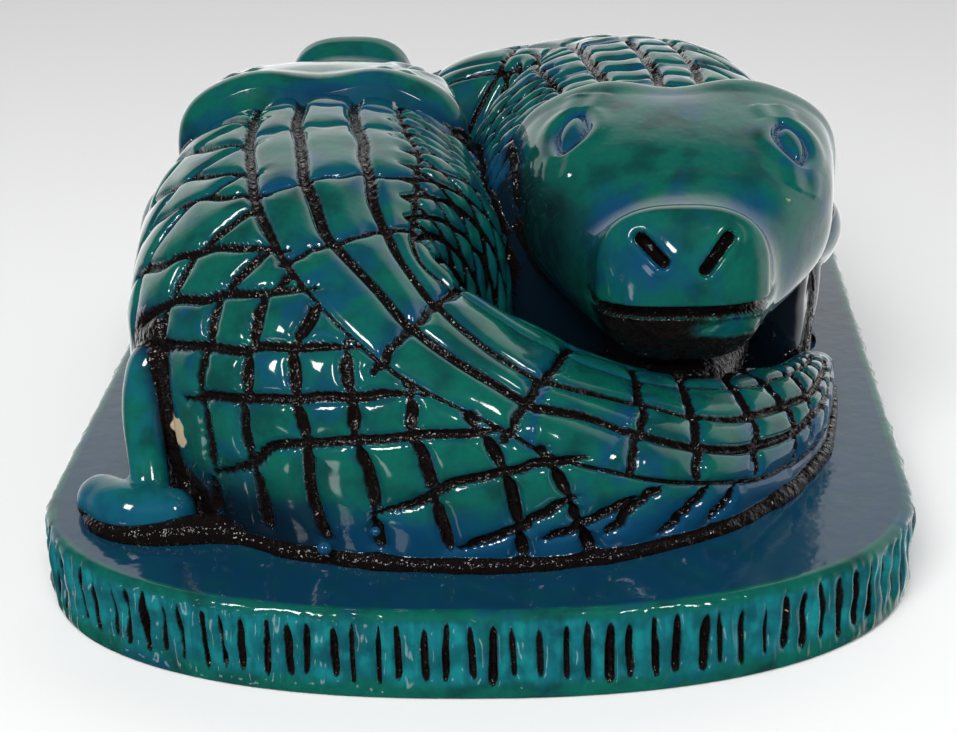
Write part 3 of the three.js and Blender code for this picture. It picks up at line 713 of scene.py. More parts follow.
def grid_normals(grid):
    """Outward normals of a tube of rings."""
    along = np.gradient(grid, axis=0)
    around = np.roll(grid, -1, axis=1) - np.roll(grid, 1, axis=1)
    normal = np.cross(around, along)
    normal /= np.maximum(np.linalg.norm(normal, axis=2), 1e-9)[..., None]
    middle = grid.mean(axis=1)[:, None]
    if ((grid - middle) * normal).sum() < 0:
        normal = -normal
    return normal


def plinth_top():
    return bpy.context.scene.croc_plinth.thickness / MM


def mesh_points(mesh):
    """A mesh's points in millimetres, one row each."""
    points = np.empty(len(mesh.vertices) * 3)
    mesh.vertices.foreach_get("co", points)
    return points.reshape(-1, 3) / MM


def fix_direction(mesh):
    """Turns a closed mesh inside out where its faces point inwards."""
    mesh.calc_loop_triangles()
    corners = np.empty(len(mesh.loop_triangles) * 3, int)
    mesh.loop_triangles.foreach_get("vertices", corners)
    a, b, c = mesh_points(mesh)[corners.reshape(-1, 3)].transpose(1, 0, 2)
    if (a * np.cross(b, c)).sum() < 0:
        mesh.flip_normals()


def finish_mesh(mesh, values):
    """Keeps the values that the glaze reads at each point, and shades the mesh smooth."""
    for name, numbers in values.items():
        layer = mesh.attributes.get(name) or mesh.attributes.new(name, "FLOAT", "POINT")
        layer.data.foreach_set("value", np.asarray(numbers, np.float32))
    mesh.shade_smooth()
    mesh.update()


def place_object(name, data):
    """A new object at the origin."""
    thing = bpy.data.objects.new(name, data)
    bpy.context.collection.objects.link(thing)
    return thing


def new_mesh(name, points, edges, faces, lift):
    """A mesh from points in millimetres, lifted by so much."""
    raised = np.array(points, float)
    raised[:, 2] += lift
    mesh = bpy.data.meshes.new(name)
    mesh.from_pydata((raised * MM).tolist(), edges, faces)
    return mesh


def new_piece(name, points, faces, values, lift=None):
    """A closed piece from points in millimetres above the plinth's top."""
    mesh = new_mesh(name, points, [], faces, plinth_top() if lift is None else lift)
    fix_direction(mesh)
    finish_mesh(mesh, values)
    return place_object(name, mesh)


def keep_result(rough, name):
    """The plain piece that a rough object's modifiers make of it."""
    graph = bpy.context.evaluated_depsgraph_get()
    mesh = bpy.data.meshes.new_from_object(rough.evaluated_get(graph))
    mesh.name = name
    bpy.data.objects.remove(rough)
    return place_object(name, mesh)


def turn_round(points, shift):
    """Half a turn round the plinth's middle, and then a step across."""
    points[:, :2] *= -1
    points[:, 0] += shift


def search_tree(points):
    """A tree that finds the nearest of the points."""
    tree = kdtree.KDTree(len(points))
    for i, point in enumerate(points.tolist()):
        tree.insert(point, i)
    tree.balance()
    return tree


def hand_wobble(value, seed, size, pitch):
    """A slow wander like that of a hand-cut line."""
    rng = np.random.default_rng(seed)
    total = np.zeros_like(np.asarray(value, float))
    for wave in range(WAVES):
        phase = rng.uniform(0, 2 * math.pi)
        total += np.sin(np.asarray(value) * 2 * math.pi / pitch * (1 + wave * WAVE_SHARE) + phase)
    return total * size / WAVES


class Cuts:
    """Sampled cut lines: places, depth and half width of the cut."""

    STEP = 0.35

    def __init__(self):
        self.points = []
        self.depth = []
        self.half = []

    def add(self, points, depth, half):
        self.points.append(points)
        self.depth.append(np.broadcast_to(depth, len(points)))
        self.half.append(np.broadcast_to(half, len(points)))

    def near(self, places):
        """Distance from each place to the nearest cut, with that cut's depth and half width."""
        tree = search_tree(np.concatenate(self.points))
        found = [tree.find(place)[1:] for place in places.tolist()]
        index = np.array([i for i, _ in found])
        distance = np.array([d for _, d in found])
        return distance, np.concatenate(self.depth)[index], np.concatenate(self.half)[index]


class Knife:
    """Depth and half width of the main grooves in millimetres, and the seed of the hand."""

    def __init__(self, carving):
        self.depth = carving.groove_depth / MM
        self.half = carving.groove_width / MM / 2
        self.seed = carving.seed


class Groove:
    """A lengthwise groove: its distance over the back at any distance along the ridge."""

    def __init__(self, rows):
        stops = np.asarray(rows, float)
        self.start = stops[0, 0]
        self.end = stops[-1, 0]
        self.table = smooth_table(stops[:, 1:], stops[:, 0])

    def over(self, along):
        return self.table(np.clip(along, self.start, self.end))[:, 0]


def relief_share(ridge, along):
    """The carving gets shallower where the tail is thin."""
    narrowest = ridge.sample(along)[:, 3:5].min(axis=1)
    return np.clip(narrowest / FULL_RELIEF_WIDTH, LEAST_RELIEF, 1)


def column_cuts(ridge, edges, knife):
    """The lengthwise grooves."""
    cuts = Cuts()
    for k, edge in enumerate(edges):
        along = np.arange(edge.start, edge.end, Cuts.STEP)
        over = edge.over(along) + hand_wobble(along, knife.seed + k, *COLUMN_WANDER)
        relief = relief_share(ridge, along)
        before, after = COLUMN_WEIGHTS[k]
        weight = before + (after - before) * smooth(*HIPS, along)
        cuts.add(on_section(ridge, along, over=over), knife.depth * relief * weight ** 0.5,
                 knife.half * relief ** NARROWING * weight)
    return cuts


def cross_cuts(ridge, edges, knife, nape):
    """The cuts across the back, in offset rows over a nape."""
    cuts = Cuts()

    def cut(high, low, stop, lean):
        at = np.array([stop])
        over = np.linspace(low.over(at)[0], high.over(at)[0], CROSS_POINTS)
        along = stop - over * lean + hand_wobble(over, int(stop), *CROSS_WANDER)
        along = np.clip(along, 0, ridge.length - 1)
        relief = relief_share(ridge, along)
        deep, wide = CROSS_SIZE
        cuts.add(on_section(ridge, along, over=over), knife.depth * deep * relief,
                 knife.half * wide * relief ** NARROWING)

    rng = np.random.default_rng(knife.seed)
    for stop, lean in CROSS_GROOVES:
        for high, low in zip(edges, edges[1:]):
            if stop < low.start + CROSS_CLEAR or (nape and stop < NAPE_TO):
                continue
            shift = rng.uniform(-CROSS_SHIFT, CROSS_SHIFT) * min(1, CROSS_STEADY / stop)
            cut(high, low, stop + shift, lean)
    if nape:
        for k, (high, low) in enumerate(zip(edges[:3], edges[1:])):
            for stop in np.arange(NAPE_FROM + NAPE_PITCH * (k % 2) / 2, NAPE_TO, NAPE_PITCH):
                cut(high, low, stop, 0)
    return cuts


def diagonal_cuts(ridge, knife):
    """The slanting cuts of the outer flank, narrow at their ends."""
    cuts = Cuts()
    deep, wide = DIAGONAL_SIZE
    share = np.linspace(0, 1, DIAGONAL_POINTS)
    widened = smooth(0, DIAGONAL_TAPER, np.minimum(share, 1 - share))
    ends = DIAGONAL_END + (1 - DIAGONAL_END) * widened
    for k, (low_s, low_u, high_s, high_u) in enumerate(DIAGONALS):
        seed = knife.seed + DIAGONAL_SEED + k
        wander = hand_wobble(share * FLANK_LENGTH, seed, *DIAGONAL_WANDER)
        along = low_s + (high_s - low_s) * share + wander
        keep = along > 1
        u = low_u + (high_u - low_u) * share[keep]
        cuts.add(on_section(ridge, along[keep], share=u), knife.depth * deep,
                 knife.half * wide * ends[keep])
    return cuts


def flank_start(ridge, outer_groove, along):
    """The section's share where the outermost lengthwise groove runs."""
    along = np.array([min(along, ridge.length)])
    row = ridge.sample(along)
    over = outer_groove.over(along)[0]
    table_over, _, _ = section(row[:, 2], row[:, 3])
    return float(np.interp(over, table_over[0], np.linspace(0, 1, table_over.shape[1])))


def flank_cuts(ridge, outer_groove, knife, diagonals):
    """The upright cuts of the outer flank, widest midway between the slanting ones."""
    cuts = Cuts()
    share = np.linspace(0, 1, FLANK_POINTS)
    for k, (high_s, low_s) in enumerate(FLANK_CUTS):
        start = flank_start(ridge, outer_groove, high_s) + FLANK_CLEAR
        u = start + (FLANK_FOOT - start) * share
        slope = (low_s - high_s) / (FLANK_FOOT - FLANK_HIGH)
        wander = hand_wobble(u * FLANK_LENGTH, knife.seed + FLANK_SEED + k, *FLANK_WANDER)
        along = np.clip(high_s + (u - FLANK_HIGH) * slope + wander, 0, ridge.length - 1)
        points = on_section(ridge, along, share=u)
        distance, _, _ = diagonals.near(points)
        least, gain = LENS_WIDTH
        lens = least + gain * smooth(0, LENS_REACH, distance)
        least, gain = LENS_DEPTH
        cuts.add(points, knife.depth * (least + gain * lens), knife.half * lens)
    return cuts


def inner_cuts(ridge, knife):
    """The net of cuts that makes the inner flank's leaf-shaped scales."""
    cuts = Cuts()
    deep, wide = INNER_SIZE
    high, low = INNER_NET_SHARES
    share = np.linspace(0, 1, INNER_POINTS)
    for k in range(int((INNER_NET_TO - INNER_NET_FROM) / INNER_NET_PITCH)):
        for lean in (-1, 1):
            along = INNER_NET_FROM + INNER_NET_PITCH * k + lean * INNER_NET_LEAN * share
            keep = (along > 1) & (along < INNER_NET_TO + INNER_NET_OVERRUN)
            if keep.sum() > 3:
                u = -high - (low - high) * share[keep]
                cuts.add(on_section(ridge, along[keep], share=u), knife.depth * deep,
                         knife.half * wide)
    return cuts


def body_cuts(ridge, knife, nape):
    """The families of cuts of one body."""
    edges = [Groove(rows) for rows in COLUMN_GROOVES]
    diagonals = diagonal_cuts(ridge, knife)
    return [
        column_cuts(ridge, edges, knife),
        cross_cuts(ridge, edges, knife, nape),
        flank_cuts(ridge, edges[0], knife, diagonals),
        diagonals,
        inner_cuts(ridge, knife),
    ]


def cut_marks(grid, families):
    """Depth of the cuts, pooled glaze and nearness to a cut at each point of a grid."""
    places = grid.reshape(-1, 3)
    cut, pool, nearness = np.zeros((3, len(places)))
    for family in families:
        distance, depth, half = family.near(places)
        share = distance / half
        cut = np.maximum(cut, depth * fade(0, CUT_EDGE, share))
        pool = np.maximum(pool, fade(*CUT_POOL, share))
        beyond = np.maximum(distance - half / 2, 0)
        nearness = np.maximum(nearness, np.exp(-beyond / SWELL_REACH))
    return (values.reshape(grid.shape[:2]) for values in (cut, pool, nearness))


def body_grid(ridge):
    """Rings of points over the body, each from the inner foot over the ridge to the outer."""
    ends = [start for start, _ in RING_STEPS[1:]] + [ridge.length]
    spans = [np.arange(start, end, step) for (start, step), end in zip(RING_STEPS, ends)]
    along = np.concatenate([*spans, [ridge.length]])
    rows = ridge.sample(along)
    halves = []
    for half, count in ((rows[:, 4], INNER_COLUMNS), (rows[:, 3], OUTER_COLUMNS)):
        over, *reaches = section(rows[:, 2], half)
        evenly = np.linspace(0, 1, count + 1) * over[:, -1:]
        halves.append([evenly] + [
            np.array([np.interp(*row) for row in zip(evenly, over, reach)]) for reach in reaches
        ])
    over, side, height = (
        np.concatenate([sign * inner[:, :0:-1], outer], axis=1)
        for sign, inner, outer in zip((-1, -1, 1), *halves)
    )
    plan = rows[:, None, :2] + ridge.outward(along)[:, None] * side[..., None]
    return along, over, np.concatenate([plan, height[..., None]], axis=2)


def end_cap(ring, direction, reach):
    """Rings that round off an end of a body like half a dome that stands on the plinth."""
    middle = ring.mean(axis=0)
    middle[2] = -SINK
    rings = []
    for share in END_SHARES:
        smaller = middle + (ring - middle) * math.sqrt(1 - share * share)
        smaller[:, :2] += direction * reach * share
        rings.append(smaller)
    return np.array(rings)


def scute_slopes(ridge, along, over):
    """Share of the way down each scute from its head end, and where the back's scutes lie."""
    stops = np.array([0] + [stop for stop, _ in CROSS_GROOVES] + [ridge.length])
    lean = np.interp(along, *np.transpose(CROSS_GROOVES))[:, None]
    placed = along[:, None] + over * lean
    index = np.clip(np.searchsorted(stops, placed, side="right") - 1, 0, len(stops) - 2)
    phase = np.clip((placed - stops[index]) / (stops[index + 1] - stops[index]), 0, 1)
    edges = (Groove(COLUMN_GROOVES[k]).over(along)[:, None] for k in SCUTE_GROOVES)
    past_outer, past_inner = (over - edge for edge in edges)
    return phase, fade(0, SCUTE_FADE, past_outer) * smooth(-SCUTE_FADE, 0, past_inner)


def make_body(name, rows, carving, bare_spot, nape):
    """One body with its carving, the places where its glaze pools, turns blue and wears, and its
    painted shade.
    """
    ridge = Ridge(rows)
    along, over, grid = body_grid(ridge)
    normal = grid_normals(grid)
    cut, pool, nearness = cut_marks(grid, body_cuts(ridge, Knife(carving), nape))
    phase, on_back = scute_slopes(ridge, along, over)
    relief = relief_share(ridge, along)[:, None]
    swell = nearness * (carving.swell / MM * relief)
    tile = TILE_DIP * phase ** 2 * on_back * relief
    lumps = hand_wobble(along, *LENGTHWISE_LUMPS)[:, None] + hand_wobble(over, *CROSSWISE_LUMPS)
    sunk = (cut + swell + tile + lumps) * smooth(BURIED, 0, grid[..., 2])
    grid = grid - normal * sunk[..., None]
    chest = end_cap(grid[0], -ridge.run(np.zeros(1))[0], CHEST_REACH)[::-1]
    tip = end_cap(grid[-1], ridge.run(np.array([ridge.length]))[0], TAIL_TIP_REACH)

    def padded(values):
        before = np.repeat(values[:1], len(chest), axis=0)
        after = np.repeat(values[-1:], len(tip), axis=0)
        return np.concatenate([np.concatenate([before, values, after]).ravel(), [0, 0]])

    along = along[:, None]
    height = grid[..., 2]
    hollow = most(
        np.clip(nearness * 0.75 - 0.1, 0, 1) * GROOVE_BLUE,
        phase ** 5 * on_back * REAR_EDGE_BLUE,
        fade(*LOW_FLANK_HEIGHTS, height) * smooth(*LOW_FLANK_FROM, along) * LOW_FLANK_BLUE,
        fade(*UNDER_SKULL_TO, along) * UNDER_SKULL_BLUE,
    )
    # Painted shade on the stretches listed in BODY_SHADES
    shade = most(*(
        smooth(*start, along) * fade(*end, along) * fade(*heights, height)
        * ((over > 0) | (not outside)) * strength
        for start, end, heights, outside, strength in BODY_SHADES
    ))
    values = {"pool": np.maximum(pool, fade(*POOL_HEIGHTS, height)), "hollow": hollow, "shade": shade}
    if bare_spot is not None:
        from_spot = np.linalg.norm(grid - np.array(bare_spot), axis=2)
        values["bare"] = fade(BARE_SPOT_FROM, 1, from_spot / BARE_SPOT_RADIUS)
    points, faces = capped_tube(np.concatenate([chest, grid, tip]))
    return new_piece(name, points, faces, {key: padded(layer) for key, layer in values.items()})


def head_grid():
    """Rings of points round the right crocodile's head, evenly spaced over its outline."""
    rows = np.asarray(HEAD, float)
    at = rows[:, 0] - rows[0, 0]
    sample = smooth_table(rows, at)
    close = np.linspace(0, at[-1], HEAD_STEPS)
    covered = distances(sample(close)[:, [0, 3, 4]])
    rows = sample(np.interp(np.linspace(0, covered[-1], HEAD_ROWS), covered, close))
    angle = np.linspace(0, 2 * math.pi, HEAD_SIDES, endpoint=False)
    s = np.sin(angle)
    c = np.cos(angle)
    y, middle, top, under, half, power = (rows[:, k][:, None] for k in range(6))
    waist = under + (top - under) * HEAD_WAIST
    x = np.sign(s) * np.abs(s) ** (2 / power) * half
    reach = np.where(c >= 0, top - waist, waist - under)
    dip = bell(x / SKULL_NOTCH_WIDTH)
    lobes = SKULL_LOBE_RISE * bell((np.abs(x) - SKULL_NOTCH_WIDTH * SKULL_LOBE_AT) / SKULL_NOTCH_WIDTH)
    back = smooth(SKULL_NOTCH_FROM, SKULL_NOTCH_TO, y)
    notch = np.where(c > 0, SKULL_NOTCH_DEPTH * back * (dip - lobes), 0)
    z = waist + np.sign(c) * np.abs(c) ** (2 / power) * reach - notch
    return np.stack([middle + x, np.broadcast_to(y, x.shape), z], axis=2)


def nostril(places, ends):
    """How far one nostril sinks each place, and the glaze pooled in it."""
    a, b = np.array(ends, float)
    share = np.clip(((places - a) @ (b - a)) / ((b - a) @ (b - a)), 0, 1)
    distance = np.linalg.norm(places - (a + share[:, None] * (b - a)), axis=1)
    pit = fade(NOSTRIL_FLOOR, 1, distance / NOSTRIL_WIDTH)
    rim = NOSTRIL_RIM_RISE * bell((distance - NOSTRIL_RIM) / NOSTRIL_RIM_WIDTH)
    return NOSTRIL_DEPTH * pit - rim, smooth(0.1, 0.5, pit)


def mouth(places):
    """How far the mouth and jaw sink each place, the dark glaze in the mouth, and dark glaze with
    painted shade on the jaw below it.
    """
    inside = fade(MOUTH_BACK - MOUTH_FADE, MOUTH_BACK, places[:, 1])
    below = MOUTH_HEIGHT - MOUTH_DROOP * (places[:, 1] - HEAD[0][0]) - places[:, 2]
    slot = fade(*MOUTH_EDGE, np.abs(below) / MOUTH_GAP) * inside
    jaw = smooth(*JAW_EDGE, below) * inside
    across = (places[:, 0] - HEAD_MIDDLE - JAW_PATCH[0]) / JAW_PATCH_SIZE[0]
    away = np.hypot(across, (below - JAW_PATCH[1]) / JAW_PATCH_SIZE[1])
    # Dark glaze and painted shade on the jaw below the mouth, lifted where the jaw is lit
    jaw_shade_and_glaze = np.clip(1 - JAW_PATCH_STRENGTH * bell(away), 0, 1) * jaw * JAW_GLAZE_AND_SHADE
    return MOUTH_DEPTH * slot + JAW_SETBACK * jaw, np.maximum(smooth(0.1, 0.6, slot), jaw_shade_and_glaze)


def eye(places, ends):
    """How far one eye sinks each place, and the line round its ball."""
    a, b = np.array(ends, float)
    length = np.linalg.norm(b - a) / 2
    axis = (b - a) / (2 * length)
    offset = places - (a + b) / 2
    lengthwise = offset @ axis
    near = np.linalg.norm(offset, axis=1) < length * EYE_REACH
    sideways = np.linalg.norm(offset - lengthwise[:, None] * axis, axis=1)
    gap = sideways - EYE_WIDTH * np.clip(1 - (lengthwise / length) ** 2, 0, 1)
    ring = bell(gap / EYE_GROOVE_WIDTH) * near * (np.abs(lengthwise) < length)
    ball = (gap < 0) * near * np.clip(-gap / EYE_WIDTH, 0, 1)
    lid = bell((gap - EYELID_AT) / EYELID_WIDTH) * near
    return EYE_GROOVE * ring - EYEBALL_RISE * ball - EYELID_RISE * lid, ring


def blob(places, centre, size):
    """1 at the centre, fading with distance in shares of the size."""
    return bell(np.linalg.norm((places - np.array(centre)) / size, axis=1))


def make_head(name, turned, shift, width):
    """One head with its nostrils, mouth and eyes."""
    grid = head_grid()
    places = grid.reshape(-1, 3)
    height = places[:, 2]
    holes = [nostril(places, ends) for ends in NOSTRILS] + [mouth(places)]
    eyes = [eye(places, ends) for ends in EYES]
    dents = [blob(places, spot, SNOUT_HOLLOW_SIZE) for spot in SNOUT_HOLLOWS]
    sunk = sum(depth for depth, _ in holes + eyes) + SNOUT_HOLLOW_DEPTH * sum(dents)
    inner_cheek = fade(*INNER_CHEEK, places[:, 0]) * fade(*INNER_CHEEK_HEIGHTS, height)
    looks = {
        "pool": most(*(glaze for _, glaze in holes),
                     *(smooth(EYE_POOL_FROM, 1, ring) * EYE_POOL for _, ring in eyes)),
        "hollow": most(*(np.clip(ring * EYE_BLUE, 0, 1) for _, ring in eyes), *dents,
                       NOSE_TINT_STRENGTH * blob(places, NOSE_TINT, NOSE_TINT_SIZE),
                       LOW_CHEEK_STRENGTH * fade(*LOW_CHEEK_HEIGHTS, height)),
        "shade": most(JOWL_SHADE * fade(*JOWL_HEIGHTS, height), INNER_CHEEK_SHADE * inner_cheek),
    }
    grid = grid - grid_normals(grid) * sunk.reshape(grid.shape[:2])[..., None]
    points, faces = capped_tube(grid)
    points[:, 0] = HEAD_MIDDLE + (points[:, 0] - HEAD_MIDDLE) * width
    if turned:
        turn_round(points, shift)
    values = {key: np.concatenate([numbers, [numbers[0], 0]]) for key, numbers in looks.items()}
    return new_piece(name, points, faces, values)


def limb_tube(chain):
    """Points and faces of a smooth limb through its knuckles."""
    rows = np.asarray(chain, float)
    at = distances(rows[:, :3])
    rows = smooth_table(rows, at)(np.linspace(0, at[-1], LIMB_RINGS))
    forward = np.gradient(rows[:, :3], axis=0)
    forward /= np.linalg.norm(forward, axis=1)[:, None]
    side = np.cross(forward, LIMB_REFERENCE)
    side /= np.linalg.norm(side, axis=1)[:, None]
    up = np.cross(side, forward)
    angle = np.linspace(0, 2 * math.pi, LIMB_SIDES, endpoint=False)
    around = side[:, None] * np.cos(angle)[:, None] + up[:, None] * np.sin(angle)[:, None]
    grid = rows[:, None, :3] + around * rows[:, None, 3:4]
    ends = []
    for end, direction in ((0, -1), (-1, 1)):
        caps = []
        for share in LIMB_END_SHARES:
            radius = rows[end, 3] * math.sqrt(1 - share * share)
            centre = rows[end, :3] + forward[end] * rows[end, 3] * share * direction
            caps.append(centre + around[end] * radius)
        ends.append(np.array(caps[::-1] if direction < 0 else caps))
    return capped_tube(np.concatenate([ends[0], grid, ends[1]]))


def make_limb(name, chains, turned, shift=0, dark=0, shade_below=0, thin=0, voxel=LIMB_VOXEL):
    """Tubes joined by a remesh into one soft form."""
    points = []
    faces = []
    for chain in chains:
        tube_points, tube_faces = limb_tube(chain)
        faces += [[corner + len(points) for corner in face] for face in tube_faces]
        points += tube_points.tolist()
    points = np.array(points)
    if turned:
        turn_round(points, shift)
    rough = new_piece(name + "_rough", points, faces, {})
    remesh = rough.modifiers.new("one_skin", "REMESH")
    remesh.mode = "VOXEL"
    remesh.voxel_size = voxel * MM
    soften = rough.modifiers.new("soften", "SMOOTH")
    soften.factor = 0.5
    soften.iterations = LIMB_SOFTENING
    piece = keep_result(rough, name)
    height = mesh_points(piece.data)[:, 2] - plinth_top()
    # Dark glaze low down and wherever dark is given; painted shade near the plinth, below shade_below
    # and wherever dark is given
    finish_mesh(piece.data, {
        "pool": np.maximum(fade(*POOL_HEIGHTS, height), dark),
        "hollow": fade(*LOW_LIMB_HEIGHTS, height) * LOW_LIMB_BLUE,
        "shade": np.maximum(dark, LIMB_SHADE * fade(shade_below, shade_below + SHADE_FADE, height)),
        "thin": np.full(len(height), thin),
    })
    return piece


def plinth_outline(count):
    """Points round the plinth at even distances, with the outward direction and distance."""
    half_width = PLINTH_WIDTH / 2
    straight = PLINTH_LENGTH / 2 - PLINTH_END_DEPTH
    angle = np.linspace(0, math.pi / 2, OUTLINE_STEPS)[1:]
    quarter = np.concatenate([
        [[half_width, 0], [half_width, straight]],
        np.column_stack([
            half_width * np.clip(np.cos(angle), 0, 1) ** (2 / PLINTH_END_POWER),
            straight + PLINTH_END_DEPTH * np.sin(angle) ** (2 / PLINTH_END_POWER),
        ]),
    ])
    half = np.concatenate([quarter, (quarter[:-1] * (-1, 1))[::-1]])
    whole = np.concatenate([half[:-1], -half])
    at = distances(whole)
    along = np.linspace(0, at[-1], count, endpoint=False)
    points = np.column_stack([np.interp(along, at, whole[:, k]) for k in (0, 1)])
    run = np.roll(points, -1, axis=0) - np.roll(points, 1, axis=0)
    run /= np.linalg.norm(run, axis=1)[:, None]
    return points, np.column_stack([run[:, 1], -run[:, 0]]), along, at[-1]


def plain_plinth():
    """The plinth before its edge is cut, with the distances that the cuts follow."""
    thickness = plinth_top()
    outline, outward, along, perimeter = plinth_outline(PLINTH_COLUMNS)
    foot = [(FOOT_ROUND * (1 - math.sin(t)), FOOT_ROUND * (1 - math.cos(t)))
            for t in np.linspace(0, math.pi / 2, FOOT_ROWS)]
    lip = [(LIP_ROUND * (1 - math.cos(t)), thickness - LIP_ROUND * (1 - math.sin(t)))
           for t in np.linspace(0, math.pi / 2, LIP_ROWS)]
    edge = np.linspace(FOOT_ROUND, thickness - LIP_ROUND, EDGE_ROWS)[1:-1]
    profile = [
        *((inset, 0) for inset in UNDERSIDE_INSETS),
        *foot,
        *((0, height) for height in edge),
        *lip,
        *((inset, thickness) for inset in TOP_INSETS),
    ]
    rings = []
    for inset, height in profile:
        shrunk = outline * (1 - inset / (PLINTH_WIDTH / 2))
        plan = shrunk if inset > SHRUNK_FROM else outline - outward * inset
        rings.append(np.column_stack([plan, np.full(PLINTH_COLUMNS, height)]))
    points, faces = capped_tube(np.array(rings))
    inset, height = np.transpose(profile)
    rim = np.select(
        [inset < TOP_INSETS[0] - 0.1, height == 0, inset > INNER_TOP_FROM],
        [height / thickness, UNDERSIDE_MARK, INNER_TOP_MARK], TOP_MARK,
    )
    spread = {
        "rim": np.repeat(rim, PLINTH_COLUMNS),
        "along": np.tile(along * MM, len(profile)),
        "out_x": np.tile(outward[:, 0], len(profile)),
        "out_y": np.tile(outward[:, 1], len(profile)),
    }
    values = {key: np.concatenate([numbers, numbers[:1], numbers[-1:]])
              for key, numbers in spread.items()}
    return new_piece("plinth_rough", points, faces, values, lift=0), perimeter * MM


class Field:
    """An output in a node tree; sums with it become nodes."""

    def __init__(self, socket):
        self.socket = socket

    def calc(self, operation, other=0.0, first=False):
        pair = {0: other, 1: self} if first else {0: self, 1: other}
        return field(self.socket.id_data, "ShaderNodeMath", pair, operation=operation)

    def __add__(self, other):
        return self.calc("ADD", other)

    def __sub__(self, other):
        return self.calc("SUBTRACT", other)

    def __rsub__(self, other):
        return self.calc("SUBTRACT", other, first=True)

    def __mul__(self, other):
        return self.calc("MULTIPLY", other)

    def __truediv__(self, other):
        return self.calc("DIVIDE", other)

    def at_least(self, other):
        return self.calc("MAXIMUM", other)

    def ease(self, low, high, start=0.0, end=1.0):
        """Goes smoothly from start to end while the field goes from low to high."""
        values = {"Value": self, "From Min": low, "From Max": high, "To Min": start, "To Max": end}
        return field(self.socket.id_data, "ShaderNodeMapRange", values,
                     interpolation_type="SMOOTHSTEP")


def add_node(tree, kind, values=None, **settings):
    """A node with its settings, and its inputs given as fields or plain values."""
    node = tree.nodes.new(kind)
    for key, value in settings.items():
        setattr(node, key, value)
    for key, value in (values or {}).items():
        set_input(tree, node.inputs[key], value)
    return node


def set_input(tree, socket, value):
    if isinstance(value, Field):
        tree.links.new(value.socket, socket)
    else:
        socket.default_value = value


def field(tree, kind, values=None, output=0, **settings):
    """One output of a new node."""
    return Field(add_node(tree, kind, values, **settings).outputs[output])


def joined(tree, *parts):
    """A vector of three fields or numbers."""
    return field(tree, "ShaderNodeCombineXYZ", dict(enumerate(parts)))


def stored(tree, name):
    return field(tree, "GeometryNodeInputNamedAttribute", {"Name": name}, "Attribute")


def store(tree, geometry, name, value):
    return field(tree, "GeometryNodeStoreNamedAttribute",
                 {"Geometry": geometry, "Name": name, "Value": value}, "Geometry",
                 data_type="FLOAT", domain="POINT")


def new_tree(name, inputs):
    """A tree that takes a geometry and named numbers, and the fields of what it takes."""
    tree = bpy.data.node_groups.new(name, "GeometryNodeTree")
    tree.interface.new_socket(name="Geometry", in_out="INPUT", socket_type="NodeSocketGeometry")
    for key, default in inputs.items():
        kind = "NodeSocketInt" if isinstance(default, int) else "NodeSocketFloat"
        socket = tree.interface.new_socket(name=key, in_out="INPUT", socket_type=kind)
        socket.default_value = default
    outputs = add_node(tree, "NodeGroupInput").outputs
    return tree, {key: Field(outputs[key]) for key in ("Geometry", *inputs)}


def close_tree(tree, geometry, material):
    """Ends a tree with plain geometry and its material."""
    tree.interface.new_socket(name="Geometry", in_out="OUTPUT", socket_type="NodeSocketGeometry")
    real = field(tree, "GeometryNodeRealizeInstances", {"Geometry": geometry})
    dressed = field(tree, "GeometryNodeSetMaterial", {"Geometry": real, "Material": material})
    add_node(tree, "NodeGroupOutput", {"Geometry": dressed})
    return tree


def run_tree(rough, tree, name, inputs):
    """Evaluates a node tree on a rough object and keeps the result as a plain piece."""
    modifier = rough.modifiers.new("shape", "NODES")
    modifier.node_group = tree
    for item in tree.interface.items_tree:
        if item.name in inputs:
            modifier[item.identifier] = inputs[item.name]
    return keep_result(rough, name)


